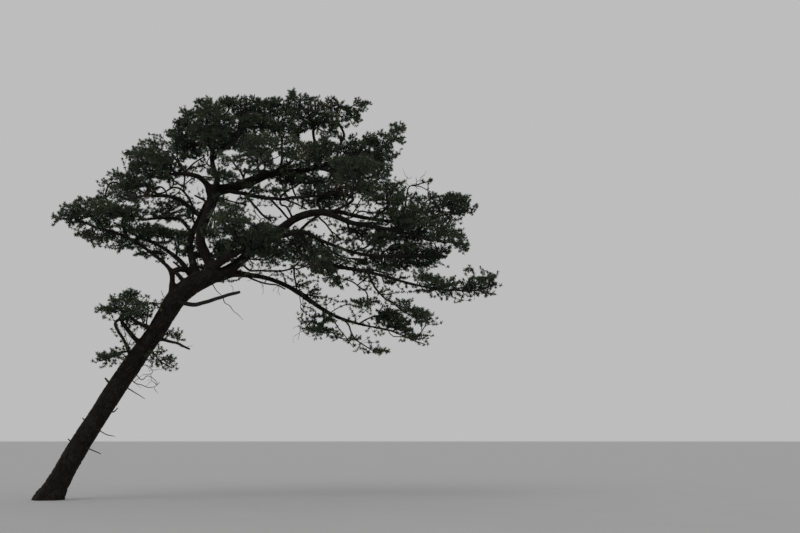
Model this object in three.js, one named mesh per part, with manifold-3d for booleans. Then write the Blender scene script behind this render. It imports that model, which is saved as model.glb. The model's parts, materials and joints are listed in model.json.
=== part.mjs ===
// Leaning pine tree, wind-shaped, as an assembly of separate solids: one trunk,
// its stems and boughs, and the masses of needles that they carry.
//
// Frame: +Z up, origin on the ground at the middle of the flat cut under the
// trunk, +X the way that the trunk leans. Sizes are named in metres and scaled
// once to millimetres.

import * as THREE from 'three';
import { mergeVertices } from 'three/addons/utils/BufferGeometryUtils.js';
import Module from 'manifold-3d';

const wasm = await Module();
wasm.setup();

// ---------------------------------------------------------------- sizes ----

const MM = 1000;                 // one metre in model units

// Trunk: way points from the ground to the fork, and the diameter at each.
const TRUNK_PATH = [
  [0.00, 0, 0.00], [0.56, 0, 1.05], [1.26, 0, 2.25], [2.24, 0, 3.83], [2.76, 0, 4.58],
  [3.09, 0, 5.16], [3.36, 0, 5.60], [3.72, 0, 5.92], [4.16, 0, 6.15],
  [4.38, 0, 6.23],
];
const TRUNK_DIAMETER = [0.56, 0.53, 0.545, 0.52, 0.50, 0.51, 0.565, 0.57, 0.50, 0.42];
const FLARE_REACH = 0.40;        // height over which the root flare dies away
const FLARE_GAIN = 0.42;         // extra radius at the ground, as a share
const FLARE_LOBES = 5;           // buttresses around the foot
const FLARE_LOBE_DEPTH = 0.16;   // their depth, as a share of the radius
const BELOW_GROUND = 0.50;       // how far the trunk is run on before the flat cut
const TRUNK_SIDES = 14;
const TRUNK_STEPS = 16;

// The two stems above the fork stay whole and run up through the needles.
// thick: diameters at even steps from start to end; path: way points.
const STEMS = {
  stem_front: { thick: [0.34, 0.3, 0.27, 0.26, 0.27, 0.28, 0.34, 0.4], path: [[4.39, 0.00, 6.24], [4.30, -0.05, 6.55], [4.16, -0.12, 6.83], [4.02, -0.20, 7.19], [4.07, -0.20, 7.62], [4.21, -0.12, 8.07], [4.31, 0.00, 8.47], [4.35, 0.05, 8.81]] },
  stem_back:  { thick: [0.36, 0.25, 0.2, 0.19, 0.185, 0.18, 0.18], path: [[3.92, 0.12, 6.09], [3.81, 0.20, 6.45], [3.70, 0.30, 6.75], [3.60, 0.42, 7.12], [3.68, 0.46, 7.57], [3.90, 0.42, 8.03], [4.08, 0.36, 8.41]] },
};
const STEM_SIDES = 9;

// Boughs: each is one tapering limb that ends where it enters a mass.
const BOUGHS = {
  right_bough:       { thick: [0.36, 0.31, 0.29, 0.27, 0.26, 0.25], path: [[4.26, 0.00, 6.16], [4.62, 0.00, 6.30], [4.94, -0.05, 6.47], [5.16, -0.10, 6.64], [5.34, -0.15, 6.81], [5.48, -0.20, 6.96]] },
  fork_bough:        { thick: [0.26, 0.24, 0.21, 0.19, 0.17], path: [[4.32, -0.10, 6.46], [4.57, -0.25, 6.56], [4.80, -0.40, 6.68], [5.06, -0.55, 6.78], [5.33, -0.70, 6.87]] },
  arch_bough:        { thick: [0.226, 0.196], path: [[6.28, -0.30, 7.48], [6.62, -0.42, 7.73], [6.86, -0.50, 7.84], [7.20, -0.56, 7.92], [7.56, -0.60, 7.94]] },
  arch_lower:        { thick: [0.172, 0.073], path: [[7.56, -0.61, 7.93], [7.96, -0.66, 7.77], [8.32, -0.70, 7.61], [8.88, -0.70, 7.51], [9.55, -0.65, 7.40], [10.17, -0.60, 7.24]] },
  low_right_bough:   { thick: [0.3, 0.21, 0.145, 0.135, 0.145, 0.15], path: [[4.51, 0.02, 6.19], [4.89, 0.10, 6.30], [5.33, 0.22, 6.28], [5.79, 0.40, 6.23], [6.35, 0.55, 6.04], [6.90, 0.65, 5.73]] },
  low_right_tip:     { thick: [0.146, 0.060], path: [[6.91, 0.66, 5.71], [7.39, 0.70, 5.38], [7.83, 0.70, 5.14], [8.51, 0.70, 4.92], [9.03, 0.70, 4.81]] },
  upper_right_bough: { thick: [0.30, 0.27], path: [[4.41, 0.05, 8.72], [4.96, 0.15, 8.85], [5.34, 0.30, 9.03], [5.80, 0.48, 9.32]] },
  top_bough:         { thick: [0.19, 0.124], path: [[4.35, 0.10, 8.77], [4.38, 0.20, 9.11], [4.26, 0.30, 9.40], [4.18, 0.35, 9.74], [4.20, 0.30, 10.05]] },
  upper_left_bough:  { thick: [0.28, 0.17, 0.14, 0.125, 0.105, 0.096], path: [[4.28, -0.02, 8.59], [4.13, -0.12, 8.87], [3.92, -0.30, 9.03], [3.56, -0.50, 9.06], [3.13, -0.60, 9.03], [2.81, -0.60, 9.12]] },
  mid_left_bough:    { thick: [0.165, 0.094], path: [[3.89, 0.50, 8.05], [3.53, 0.58, 8.32], [3.23, 0.66, 8.56], [2.86, 0.74, 8.69], [2.31, 0.85, 8.72]] },
  low_left_bough:    { thick: [0.18, 0.17, 0.15, 0.105, 0.1, 0.095, 0.09], path: [[3.24, -0.05, 5.61], [3.23, -0.09, 5.92], [3.24, -0.12, 6.17], [3.17, -0.12, 6.38], [2.93, -0.10, 6.62], [2.56, 0.00, 6.91], [2.12, 0.12, 7.22]] },
  left_fork_bough:   { thick: [0.172, 0.15, 0.125, 0.111], path: [[3.74, 0.20, 6.16], [3.57, 0.30, 6.43], [3.36, 0.42, 6.69], [3.10, 0.55, 6.91], [2.78, 0.68, 7.14], [2.38, 0.85, 7.36]] },
  mid_right_bough:   { thick: [0.128, 0.073], path: [[7.71, -0.50, 6.44], [8.27, -0.50, 6.35], [8.77, -0.50, 6.26], [9.27, -0.45, 6.13], [10.10, -0.40, 5.90]] },
  small_crown_bough: { thick: [0.155, 0.100], path: [[2.44, -0.05, 4.23], [2.23, -0.20, 4.47], [2.05, -0.30, 4.70], [1.92, -0.35, 4.90], [1.98, -0.35, 5.10]] },
};
// Dead limbs end bare and blunt, clear of every mass.
const DEAD = {
  broken_bough:      { thick: [0.135, 0.083], path: [[3.40, -0.12, 5.50], [3.73, -0.25, 5.38], [4.20, -0.40, 5.41], [4.67, -0.55, 5.53], [5.24, -0.70, 5.67]] },
  dead_bough:        { thick: [0.110, 0.054], path: [[2.63, 0.10, 4.37], [2.87, 0.25, 4.43], [3.27, 0.40, 4.36], [3.67, 0.55, 4.19]] },
};
const BOUGH_SIDES = 7;
const BOUGH_STEP = 0.45;         // run of a bough per ring of faces
const THIN_SIDES = 6;            // faces around a bough thinner than THIN
const THIN = 0.15;

// Masses of needles. at: middle; size: half width, half depth, half height;
// tilt: degrees that the mass leans down towards +X.
const MASSES = {
  // flat top of the crown
  top_left:       { at: [4.38, -0.60, 10.30], size: [0.65, 1.50, 0.80], tilt: 10 },
  top_middle:     { at: [5.49, 0.90, 11.19], size: [1.09, 1.60, 0.42], tilt: 8 },
  top_right:      { at: [7.19, -0.80, 10.65], size: [0.85, 1.35, 0.29], tilt: 13 },
  top_tip:        { at: [7.85, 0.90, 11.35], size: [0.69, 1.10, 0.20], tilt: 10 },
  top_front:      { at: [5.98, -2.70, 9.06], size: [1.17, 1.25, 0.35], tilt: -19 },
  top_back:       { at: [4.65, 3.00, 10.92], size: [1.06, 1.30, 0.43], tilt: 16 },
  // left side
  shoulder:       { at: [3.32, 1.00, 10.41], size: [0.50, 1.30, 0.74], tilt: 6 },
  left_upper:     { at: [2.80, -0.90, 9.27], size: [0.72, 1.30, 0.62], tilt: 11 },
  left_middle:    { at: [1.88, 0.90, 9.08], size: [0.75, 1.25, 0.26], tilt: 15 },
  left_long:      { at: [1.16, -0.90, 7.84], size: [1.09, 1.30, 0.30], tilt: -6 },
  left_low:       { at: [1.78, 0.70, 7.55], size: [1.38, 1.20, 0.38], tilt: -3 },
  left_inner:     { at: [2.69, 1.90, 8.49], size: [0.80, 0.90, 0.47], tilt: -8 },
  left_back:      { at: [1.07, 2.90, 9.10], size: [0.77, 1.15, 0.32], tilt: 16 },
  // around the fork
  fork_upper:     { at: [6.39, 1.00, 9.39], size: [0.77, 1.10, 0.34], tilt: 2 },
  centre_front:   { at: [5.84, -1.00, 7.05], size: [0.68, 1.20, 0.61], tilt: -12 },
  centre_low:     { at: [7.55, -0.50, 6.62], size: [0.64, 1.15, 0.57], tilt: 8 },
  centre_left:    { at: [5.18, -2.20, 7.32], size: [0.57, 1.05, 0.54], tilt: -10 },
  centre_back:    { at: [6.63, 1.90, 7.36], size: [0.69, 1.30, 0.53], tilt: -13 },
  // right side, from the top down
  right_upper:    { at: [7.33, -0.90, 9.55], size: [0.71, 1.20, 0.44], tilt: -24 },
  right_high:     { at: [8.39, 0.90, 9.92], size: [0.63, 1.35, 0.52], tilt: -6 },
  right_shoulder: { at: [9.30, 0.00, 9.96], size: [0.36, 1.10, 0.72], tilt: 32 },
  right_inner:    { at: [7.50, 0.50, 8.64], size: [1.11, 1.25, 0.31], tilt: -9 },
  right_middle:   { at: [9.28, -1.20, 8.20], size: [0.70, 1.25, 0.33], tilt: -8 },
  right_back:     { at: [7.80, 3.00, 9.97], size: [0.94, 1.20, 0.49], tilt: -14 },
  right_front:    { at: [8.59, -3.10, 8.48], size: [0.78, 1.15, 0.38], tilt: 3 },
  outer_middle:   { at: [9.96, 0.10, 7.76], size: [0.71, 1.30, 0.72], tilt: -1 },
  outer_top:      { at: [11.12, 1.20, 8.41], size: [0.64, 1.05, 0.45], tilt: -13 },
  outer_low:      { at: [10.94, -1.00, 7.16], size: [0.53, 1.00, 0.41], tilt: 15 },
  strip_inner:    { at: [8.55, 1.10, 7.55], size: [0.79, 1.00, 0.38], tilt: 1 },
  strip_outer:    { at: [9.62, 0.70, 6.82], size: [1.22, 1.25, 0.50], tilt: -6 },
  far_inner:      { at: [10.61, -0.50, 5.90], size: [0.66, 0.95, 0.24], tilt: 20 },
  far_tip:        { at: [11.90, 0.10, 5.96], size: [0.59, 0.90, 0.31], tilt: -12 },
  low_middle:     { at: [9.42, 0.90, 4.98], size: [0.60, 0.95, 0.33], tilt: 23 },
  low_outer:      { at: [10.05, -0.40, 5.11], size: [0.61, 0.85, 0.20], tilt: 22 },
  low_tip:        { at: [10.06, 0.80, 4.57], size: [0.30, 0.60, 0.17], tilt: 29 },
  hanging:        { at: [7.36, 0.90, 4.91], size: [0.48, 0.85, 0.38], tilt: 17 },
  lowest:         { at: [9.02, 0.50, 4.13], size: [0.35, 0.50, 0.14], tilt: 2 },
  // small crown low on the trunk
  small_top:      { at: [2.22, -0.40, 5.17], size: [0.66, 1.05, 0.44], tilt: 10 },
  small_low:      { at: [1.70, -0.40, 3.89], size: [0.55, 0.65, 0.21], tilt: -21 },
  small_right:    { at: [3.16, 0.40, 4.59], size: [0.30, 0.50, 0.19], tilt: -1 },
  // behind the fork
  fork_lower:     { at: [4.42, 1.10, 7.10], size: [0.36, 0.90, 0.44], tilt: 6 },
};
const MASS_ROUGH = 0.17;         // height of a mass's lumps, as a share of its radius
const MASS_LUMPS = 2.6;          // how many lumps fit around it
const UNDERSIDE = 0.80;          // a mass is flatter below than above
const SMALL_MASS = 0.57;         // half width under which a mass takes fewer faces

// Clearances between neighbouring solids.
const WOOD_GAP = 0.0007;         // where one limb leaves another
const STEM_GAP = 0.012;          // around a stem that runs through a mass
const BOUGH_GAP = 0.004;         // between a bough's end and the mass it enters
const MASS_GAP = 0.015;          // between two masses

// Colours: bark a dark grey-brown, dead wood a paler grey, needles a dull dark green.
const BARK = 0x2f2925, DEAD_WOOD = 0x4a4540, NEEDLES = 0x2b3324;

// ------------------------------------------------------------- solids ------

const vec = (p) => new THREE.Vector3(p[0], p[1], p[2]).multiplyScalar(MM);

// Smooth repeatable unevenness between about -1 and 1 for a direction and a seed.
function uneven(d, seed, pitch) {
  let sum = 0;
  for (let k = 0; k < 5; k++) {
    const a = seed * 12.9898 + k * 78.233;
    const wave = new THREE.Vector3(Math.sin(a), Math.sin(a * 1.7 + 1.3), Math.sin(a * 2.3 + 4.1)).normalize();
    sum += Math.sin(wave.dot(d) * pitch * (1 + 0.35 * k) + a * 3.1);
  }
  return sum / 2.6;
}

// A closed limb: a cylinder bent along a smooth curve through the way points.
// radiusAt(share of the length, angle around, height) gives its radius; its
// two ends are pushed out by endGrow.
function limbGeometry(path, radiusAt, sides, steps, endGrow = 0) {
  const curve = new THREE.CatmullRomCurve3(path.map(vec), false, 'centripetal');
  const frames = [];
  let across = null;
  for (let i = 0; i <= steps; i++) {
    const at = curve.getPointAt(i / steps);
    const along = curve.getTangentAt(i / steps);
    if (!across) across = new THREE.Vector3(0, 1, 0);
    across = across.clone().addScaledVector(along, -across.dot(along)).normalize();
    if (i === 0) at.addScaledVector(along, -endGrow * MM);
    if (i === steps) at.addScaledVector(along, endGrow * MM);
    frames.push({ at, along, across, side: new THREE.Vector3().crossVectors(across, along) });
  }
  const geometry = new THREE.CylinderGeometry(1, 1, 1, sides, steps);
  const position = geometry.attributes.position;
  for (let i = 0; i < position.count; i++) {
    const share = Math.round((position.getY(i) + 0.5) * steps);
    const x = position.getX(i), z = position.getZ(i);
    const { at, across: n, side: b } = frames[share];
    const spread = Math.hypot(x, z);
    const r = spread < 1e-6 ? 0 : radiusAt(share / steps, Math.atan2(z, x), at.z / MM) * MM / spread;
    const p = at.clone().addScaledVector(n, x * r).addScaledVector(b, z * r);
    position.setXYZ(i, p.x, p.y, p.z);
  }
  return geometry;
}

// Straight-line value along a row of equally numbered stations.
function stationValue(values, share) {
  const t = share * (values.length - 1), i = Math.min(Math.floor(t), values.length - 2);
  return values[i] + (values[i + 1] - values[i]) * (t - i);
}

function pathLength(path) {
  let sum = 0;
  for (let i = 1; i < path.length; i++) sum += vec(path[i]).distanceTo(vec(path[i - 1])) / MM;
  return sum;
}

// Diameter along the trunk by share of length, from the stations on its path.
function trunkDiameter(share) {
  const total = pathLength(TRUNK_PATH);
  let run = 0;
  for (let i = 1; i < TRUNK_PATH.length; i++) {
    const step = pathLength(TRUNK_PATH.slice(i - 1, i + 1));
    if (share * total <= run + step || i === TRUNK_PATH.length - 1) {
      const t = Math.min(1, (share * total - run) / step);
      return TRUNK_DIAMETER[i - 1] + (TRUNK_DIAMETER[i] - TRUNK_DIAMETER[i - 1]) * t;
    }
    run += step;
  }
}

function trunkGeometry(grow = 0) {
  // run on below the ground along the foot's own slope, then cut flat
  const [a, b] = TRUNK_PATH;
  const back = BELOW_GROUND / (b[2] - a[2]);
  const path = [[a[0] - (b[0] - a[0]) * back, 0, -BELOW_GROUND], ...TRUNK_PATH];
  const whole = pathLength(path), extra = whole - pathLength(TRUNK_PATH);
  const radiusAt = (share, angle, height) => {
    const own = Math.max(0, (share * whole - extra) / (whole - extra));
    const flare = Math.exp(-Math.max(0, height) / FLARE_REACH);
    const lobes = FLARE_LOBE_DEPTH * Math.cos(FLARE_LOBES * angle + 0.6) * flare;
    const knobs = 0.035 * uneven(new THREE.Vector3(Math.cos(angle), Math.sin(angle), share * 6), 3, 2);
    return trunkDiameter(own) / 2 * (1 + FLARE_GAIN * flare + lobes + knobs) + grow;
  };
  return limbGeometry(path, radiusAt, TRUNK_SIDES, TRUNK_STEPS, grow);
}

function boughGeometry({ thick, path }, sides, seed, grow = 0) {
  const steps = Math.max(4, Math.round(pathLength(path) / BOUGH_STEP));
  const radiusAt = (share, angle) => {
    const knobs = 0.06 * uneven(new THREE.Vector3(Math.cos(angle), Math.sin(angle), share * 4), seed, 2);
    return stationValue(thick, share) / 2 * (1 + knobs) + grow;
  };
  return limbGeometry(path, radiusAt, sides, steps, grow);
}

// One uneven closed mass: a ball of triangles pushed out into lumps, stretched
// to its size, flatter below, and leaned.
function massGeometry({ at, size, tilt }, seed, grow = 0) {
  const geometry = new THREE.IcosahedronGeometry(1, size[0] < SMALL_MASS ? 1 : 2);
  const position = geometry.attributes.position;
  const lean = new THREE.Matrix4().makeRotationY(THREE.MathUtils.degToRad(tilt));
  const middle = vec(at);
  for (let i = 0; i < position.count; i++) {
    const d = new THREE.Vector3().fromBufferAttribute(position, i).normalize();
    const swell = 1 + MASS_ROUGH * uneven(d, seed, MASS_LUMPS);
    const p = new THREE.Vector3(d.x * size[0], d.y * size[1], d.z * size[2] * (d.z < 0 ? UNDERSIDE : 1));
    p.multiplyScalar(swell * MM);
    p.addScaledVector(p.clone().normalize(), grow * MM);
    p.applyMatrix4(lean).add(middle);
    position.setXYZ(i, p.x, p.y, p.z);
  }
  return geometry;
}

// ------------------------------------------------------ joining, cutting ---

function solid(geometry) {
  const bare = geometry.clone();
  bare.deleteAttribute('normal');
  bare.deleteAttribute('uv');
  const shared = mergeVertices(bare, 1e-3);
  return new wasm.Manifold(new wasm.Mesh({
    numProp: 3,
    vertProperties: new Float32Array(shared.attributes.position.array),
    triVerts: new Uint32Array(shared.index.array),
  }));
}

// The largest closed piece of a solid, as a geometry.
function largestPiece(manifold) {
  const mesh = manifold.getMesh();
  const count = mesh.vertProperties.length / mesh.numProp;
  const root = Array.from({ length: count }, (_, i) => i);
  const find = (i) => { while (root[i] !== i) i = root[i] = root[root[i]]; return i; };
  for (let t = 0; t < mesh.triVerts.length; t += 3) {
    root[find(mesh.triVerts[t])] = find(mesh.triVerts[t + 1]);
    root[find(mesh.triVerts[t + 1])] = find(mesh.triVerts[t + 2]);
  }
  const corner = (i) => new THREE.Vector3().fromArray(mesh.vertProperties, i * mesh.numProp);
  const pieces = new Map();
  for (let t = 0; t < mesh.triVerts.length; t += 3) {
    const [a, b, c] = [0, 1, 2].map((k) => corner(mesh.triVerts[t + k]));
    const key = find(mesh.triVerts[t]);
    const piece = pieces.get(key) ?? { volume: 0, index: [] };
    piece.volume += a.dot(b.cross(c)) / 6;
    piece.index.push(mesh.triVerts[t], mesh.triVerts[t + 1], mesh.triVerts[t + 2]);
    pieces.set(key, piece);
  }
  const best = [...pieces.values()].sort((p, q) => q.volume - p.volume)[0];
  const used = new Map(), position = [];
  const index = best.index.map((i) => {
    if (!used.has(i)) { used.set(i, used.size); position.push(...corner(i).toArray()); }
    return used.get(i);
  });
  const geometry = new THREE.BufferGeometry();
  geometry.setAttribute('position', new THREE.Float32BufferAttribute(position, 3));
  geometry.setIndex(index);
  geometry.computeVertexNormals();
  return geometry;
}

// ----------------------------------------------------------- the tree ------

const tree = new THREE.Group();
const wood = new THREE.Group();
const foliage = new THREE.Group();
tree.add(wood, foliage);

function place(group, name, geometry, origin, color) {
  const material = new THREE.MeshStandardMaterial({ color, roughness: 0.95, metalness: 0 });
  geometry.translate(-origin.x, -origin.y, -origin.z);
  const mesh = new THREE.Mesh(geometry, material);
  mesh.name = name;
  mesh.position.copy(origin);
  group.add(mesh);
}

// trunk, cut flat at the ground
const GROUND_BOX = 3 * MM;
const below = solid(new THREE.BoxGeometry(GROUND_BOX, GROUND_BOX, GROUND_BOX).translate(0, 0, -GROUND_BOX / 2));
place(wood, 'trunk', largestPiece(solid(trunkGeometry()).subtract(below)), vec([0, 0, 0]), BARK);

// every limb is cut clear of the limbs before it
const limbCutters = [solid(trunkGeometry(WOOD_GAP))];
const stemCutters = [solid(trunkGeometry(STEM_GAP))];
let seed = 10;
for (const [name, stem] of Object.entries(STEMS)) {
  seed += 1;
  let body = solid(boughGeometry(stem, STEM_SIDES, seed));
  for (const cutter of limbCutters) body = body.subtract(cutter);
  place(wood, name, largestPiece(body), vec(stem.path[0]), BARK);
  limbCutters.push(solid(boughGeometry(stem, STEM_SIDES, seed, WOOD_GAP)));
  stemCutters.push(solid(boughGeometry(stem, STEM_SIDES, seed, STEM_GAP)));
}

// masses, cut round the stems and round the masses before them
const massCutters = [];
let massSeed = 100;
for (const [name, mass] of Object.entries(MASSES)) {
  massSeed += 1;
  let body = solid(massGeometry(mass, massSeed));
  for (const cutter of [...stemCutters, ...massCutters]) body = body.subtract(cutter);
  place(foliage, name, largestPiece(body), vec(mass.at), NEEDLES);
  massCutters.push(solid(massGeometry(mass, massSeed, MASS_GAP)));
}

// boughs, cut where they leave another limb and where they enter a mass
const boughMassCutters = Object.values(MASSES).map((mass, i) => solid(massGeometry(mass, 101 + i, BOUGH_GAP)));
for (const [group, dead] of [[BOUGHS, false], [DEAD, true]]) {
  for (const [name, bough] of Object.entries(group)) {
    seed += 1;
    const sides = bough.thick[0] < THIN ? THIN_SIDES : BOUGH_SIDES;
    let body = solid(boughGeometry(bough, sides, seed));
    for (const cutter of [...limbCutters, ...boughMassCutters]) body = body.subtract(cutter);
    place(wood, name, largestPiece(body), vec(bough.path[0]), dead ? DEAD_WOOD : BARK);
    limbCutters.push(solid(boughGeometry(bough, sides, seed, WOOD_GAP)));
  }
}

export default tree;
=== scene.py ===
"""Looks of the leaning pine: bark with relief, boughs, twigs and needles that
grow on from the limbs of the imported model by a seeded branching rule.

Everything is in metres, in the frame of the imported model: +Z up, the origin on
the ground at the middle of the trunk's flat foot."""

import heapq
import json
import math

import bmesh
import bpy
import numpy as np
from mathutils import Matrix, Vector, kdtree

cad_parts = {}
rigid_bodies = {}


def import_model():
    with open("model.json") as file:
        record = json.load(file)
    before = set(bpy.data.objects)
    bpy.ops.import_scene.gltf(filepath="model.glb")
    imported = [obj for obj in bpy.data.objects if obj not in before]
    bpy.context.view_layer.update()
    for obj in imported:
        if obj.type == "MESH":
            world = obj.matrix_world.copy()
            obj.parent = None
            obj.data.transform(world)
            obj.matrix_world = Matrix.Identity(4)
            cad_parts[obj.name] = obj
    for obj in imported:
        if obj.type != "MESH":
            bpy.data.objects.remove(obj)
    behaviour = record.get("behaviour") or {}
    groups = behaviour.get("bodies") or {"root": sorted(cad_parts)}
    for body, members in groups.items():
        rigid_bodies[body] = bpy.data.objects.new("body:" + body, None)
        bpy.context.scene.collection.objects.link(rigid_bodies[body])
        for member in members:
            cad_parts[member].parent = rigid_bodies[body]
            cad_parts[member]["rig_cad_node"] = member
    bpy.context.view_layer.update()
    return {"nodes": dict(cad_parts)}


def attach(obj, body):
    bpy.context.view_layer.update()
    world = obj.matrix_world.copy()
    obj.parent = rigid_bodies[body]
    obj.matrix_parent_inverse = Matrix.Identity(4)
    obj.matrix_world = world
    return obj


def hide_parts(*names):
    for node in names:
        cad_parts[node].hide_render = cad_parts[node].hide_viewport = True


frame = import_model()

TAU = 2 * math.pi

# ------------------------------------------------------------------ camera --
# The eye stands 31 m from the tree at head height and looks up a little.
EYE = np.array([9.66276733, -31.12629928, 1.6])
PITCH = math.radians(8.925397917)
FOCAL = 800 * 50 / 36.0  # picture units at a frame 800 wide
MIDDLE = (400.0, 266.5)

camera = bpy.data.objects.new("camera", bpy.data.cameras.new("camera"))
camera.location = EYE
camera.rotation_euler = (math.pi / 2 + PITCH, 0, 0)
camera.data.lens = 50
camera.data.sensor_width = 36
camera.data.sensor_fit = "HORIZONTAL"
camera.data.clip_end = 9000
bpy.context.scene.collection.objects.link(camera)
bpy.context.scene.camera = camera


def placed(u, v, y):
    """The point at depth y that the picture shows at (u, v)."""
    a, b = (u - MIDDLE[0]) / FOCAL, (MIDDLE[1] - v) / FOCAL
    ray = np.array(
        [
            a,
            math.cos(PITCH) - b * math.sin(PITCH),
            math.sin(PITCH) + b * math.cos(PITCH),
        ]
    )
    return EYE + ray * (y - EYE[1]) / ray[1]


def pictured(points):
    """Where the picture shows these points, and the metres in one picture unit there."""
    d = np.asarray(points, float) - EYE
    far = d[..., 1] * math.cos(PITCH) + d[..., 2] * math.sin(PITCH)
    up = -d[..., 1] * math.sin(PITCH) + d[..., 2] * math.cos(PITCH)
    return (
        MIDDLE[0] + FOCAL * d[..., 0] / far,
        MIDDLE[1] - FOCAL * up / far,
        far / FOCAL,
    )


# ------------------------------------------------------------------ tables --
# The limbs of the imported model, repeated here: way points, and the diameter at
# each or at both ends.
TRUNK_PATH = [
    [0.00, 0, 0.00],
    [0.56, 0, 1.05],
    [1.26, 0, 2.25],
    [2.24, 0, 3.83],
    [2.76, 0, 4.58],
    [3.09, 0, 5.16],
    [3.36, 0, 5.60],
    [3.72, 0, 5.92],
    [4.16, 0, 6.15],
    [4.38, 0, 6.23],
]
TRUNK_DIAMETER = [0.56, 0.53, 0.545, 0.52, 0.50, 0.51, 0.565, 0.57, 0.50, 0.42]
FLARE_REACH, FLARE_GAIN, FLARE_LOBES, FLARE_LOBE_DEPTH = 0.40, 0.42, 5, 0.16
LIMBS = {
    "stem_front": ((0.34, 0.3, 0.27, 0.26, 0.27, 0.28, 0.34, 0.4), [[4.39, 0.00, 6.24], [4.30, -0.05, 6.55], [4.16, -0.12, 6.83], [4.02, -0.20, 7.19], [4.07, -0.20, 7.62], [4.21, -0.12, 8.07], [4.31, 0.00, 8.47], [4.35, 0.05, 8.81]]),
    "stem_back": ((0.36, 0.25, 0.2, 0.19, 0.185, 0.18, 0.18), [[3.92, 0.12, 6.09], [3.81, 0.20, 6.45], [3.70, 0.30, 6.75], [3.60, 0.42, 7.12], [3.68, 0.46, 7.57], [3.90, 0.42, 8.03], [4.08, 0.36, 8.41]]),
    "right_bough": ((0.36, 0.31, 0.29, 0.27, 0.26, 0.25), [[4.26, 0.00, 6.16], [4.62, 0.00, 6.30], [4.94, -0.05, 6.47], [5.16, -0.10, 6.64], [5.34, -0.15, 6.81], [5.48, -0.20, 6.96]]),
    "fork_bough": ((0.26, 0.24, 0.21, 0.19, 0.17), [[4.32, -0.10, 6.46], [4.57, -0.25, 6.56], [4.80, -0.40, 6.68], [5.06, -0.55, 6.78], [5.33, -0.70, 6.87]]),
    "arch_bough": ((0.226, 0.196), [[6.28, -0.30, 7.48], [6.62, -0.42, 7.73], [6.86, -0.50, 7.84], [7.20, -0.56, 7.92], [7.56, -0.60, 7.94]]),
    "arch_lower": ((0.172, 0.073), [[7.56, -0.61, 7.93], [7.96, -0.66, 7.77], [8.32, -0.70, 7.61], [8.88, -0.70, 7.51], [9.55, -0.65, 7.40], [10.17, -0.60, 7.24]]),
    "low_right_bough": ((0.3, 0.21, 0.145, 0.135, 0.145, 0.15), [[4.51, 0.02, 6.19], [4.89, 0.10, 6.30], [5.33, 0.22, 6.28], [5.79, 0.40, 6.23], [6.35, 0.55, 6.04], [6.90, 0.65, 5.73]]),
    "low_right_tip": ((0.146, 0.060), [[6.91, 0.66, 5.71], [7.39, 0.70, 5.38], [7.83, 0.70, 5.14], [8.51, 0.70, 4.92], [9.03, 0.70, 4.81]]),
    "upper_right_bough": ((0.30, 0.27), [[4.41, 0.05, 8.72], [4.96, 0.15, 8.85], [5.34, 0.30, 9.03], [5.80, 0.48, 9.32]]),
    "top_bough": ((0.19, 0.124), [[4.35, 0.10, 8.77], [4.38, 0.20, 9.11], [4.26, 0.30, 9.40], [4.18, 0.35, 9.74], [4.20, 0.30, 10.05]]),
    "upper_left_bough": ((0.28, 0.17, 0.14, 0.125, 0.105, 0.096), [[4.28, -0.02, 8.59], [4.13, -0.12, 8.87], [3.92, -0.30, 9.03], [3.56, -0.50, 9.06], [3.13, -0.60, 9.03], [2.81, -0.60, 9.12]]),
    "mid_left_bough": ((0.165, 0.094), [[3.89, 0.50, 8.05], [3.53, 0.58, 8.32], [3.23, 0.66, 8.56], [2.86, 0.74, 8.69], [2.31, 0.85, 8.72]]),
    "low_left_bough": ((0.18, 0.17, 0.15, 0.105, 0.1, 0.095, 0.09), [[3.24, -0.05, 5.61], [3.23, -0.09, 5.92], [3.24, -0.12, 6.17], [3.17, -0.12, 6.38], [2.93, -0.10, 6.62], [2.56, 0.00, 6.91], [2.12, 0.12, 7.22]]),
    "left_fork_bough": ((0.172, 0.15, 0.125, 0.111), [[3.74, 0.20, 6.16], [3.57, 0.30, 6.43], [3.36, 0.42, 6.69], [3.10, 0.55, 6.91], [2.78, 0.68, 7.14], [2.38, 0.85, 7.36]]),
    "mid_right_bough": ((0.128, 0.073), [[7.71, -0.50, 6.44], [8.27, -0.50, 6.35], [8.77, -0.50, 6.26], [9.27, -0.45, 6.13], [10.10, -0.40, 5.90]]),
    "small_crown_bough": ((0.155, 0.100), [[2.44, -0.05, 4.23], [2.23, -0.20, 4.47], [2.05, -0.30, 4.70], [1.92, -0.35, 4.90], [1.98, -0.35, 5.10]]),
}
DEAD_LIMBS = {
    "broken_bough": ((0.135, 0.083), [[3.40, -0.12, 5.50], [3.73, -0.25, 5.38], [4.20, -0.40, 5.41], [4.67, -0.55, 5.53], [5.24, -0.70, 5.67]]),
    "dead_bough": ((0.110, 0.054), [[2.63, 0.10, 4.37], [2.87, 0.25, 4.43], [3.27, 0.40, 4.36], [3.67, 0.55, 4.19]]),
}

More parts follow.
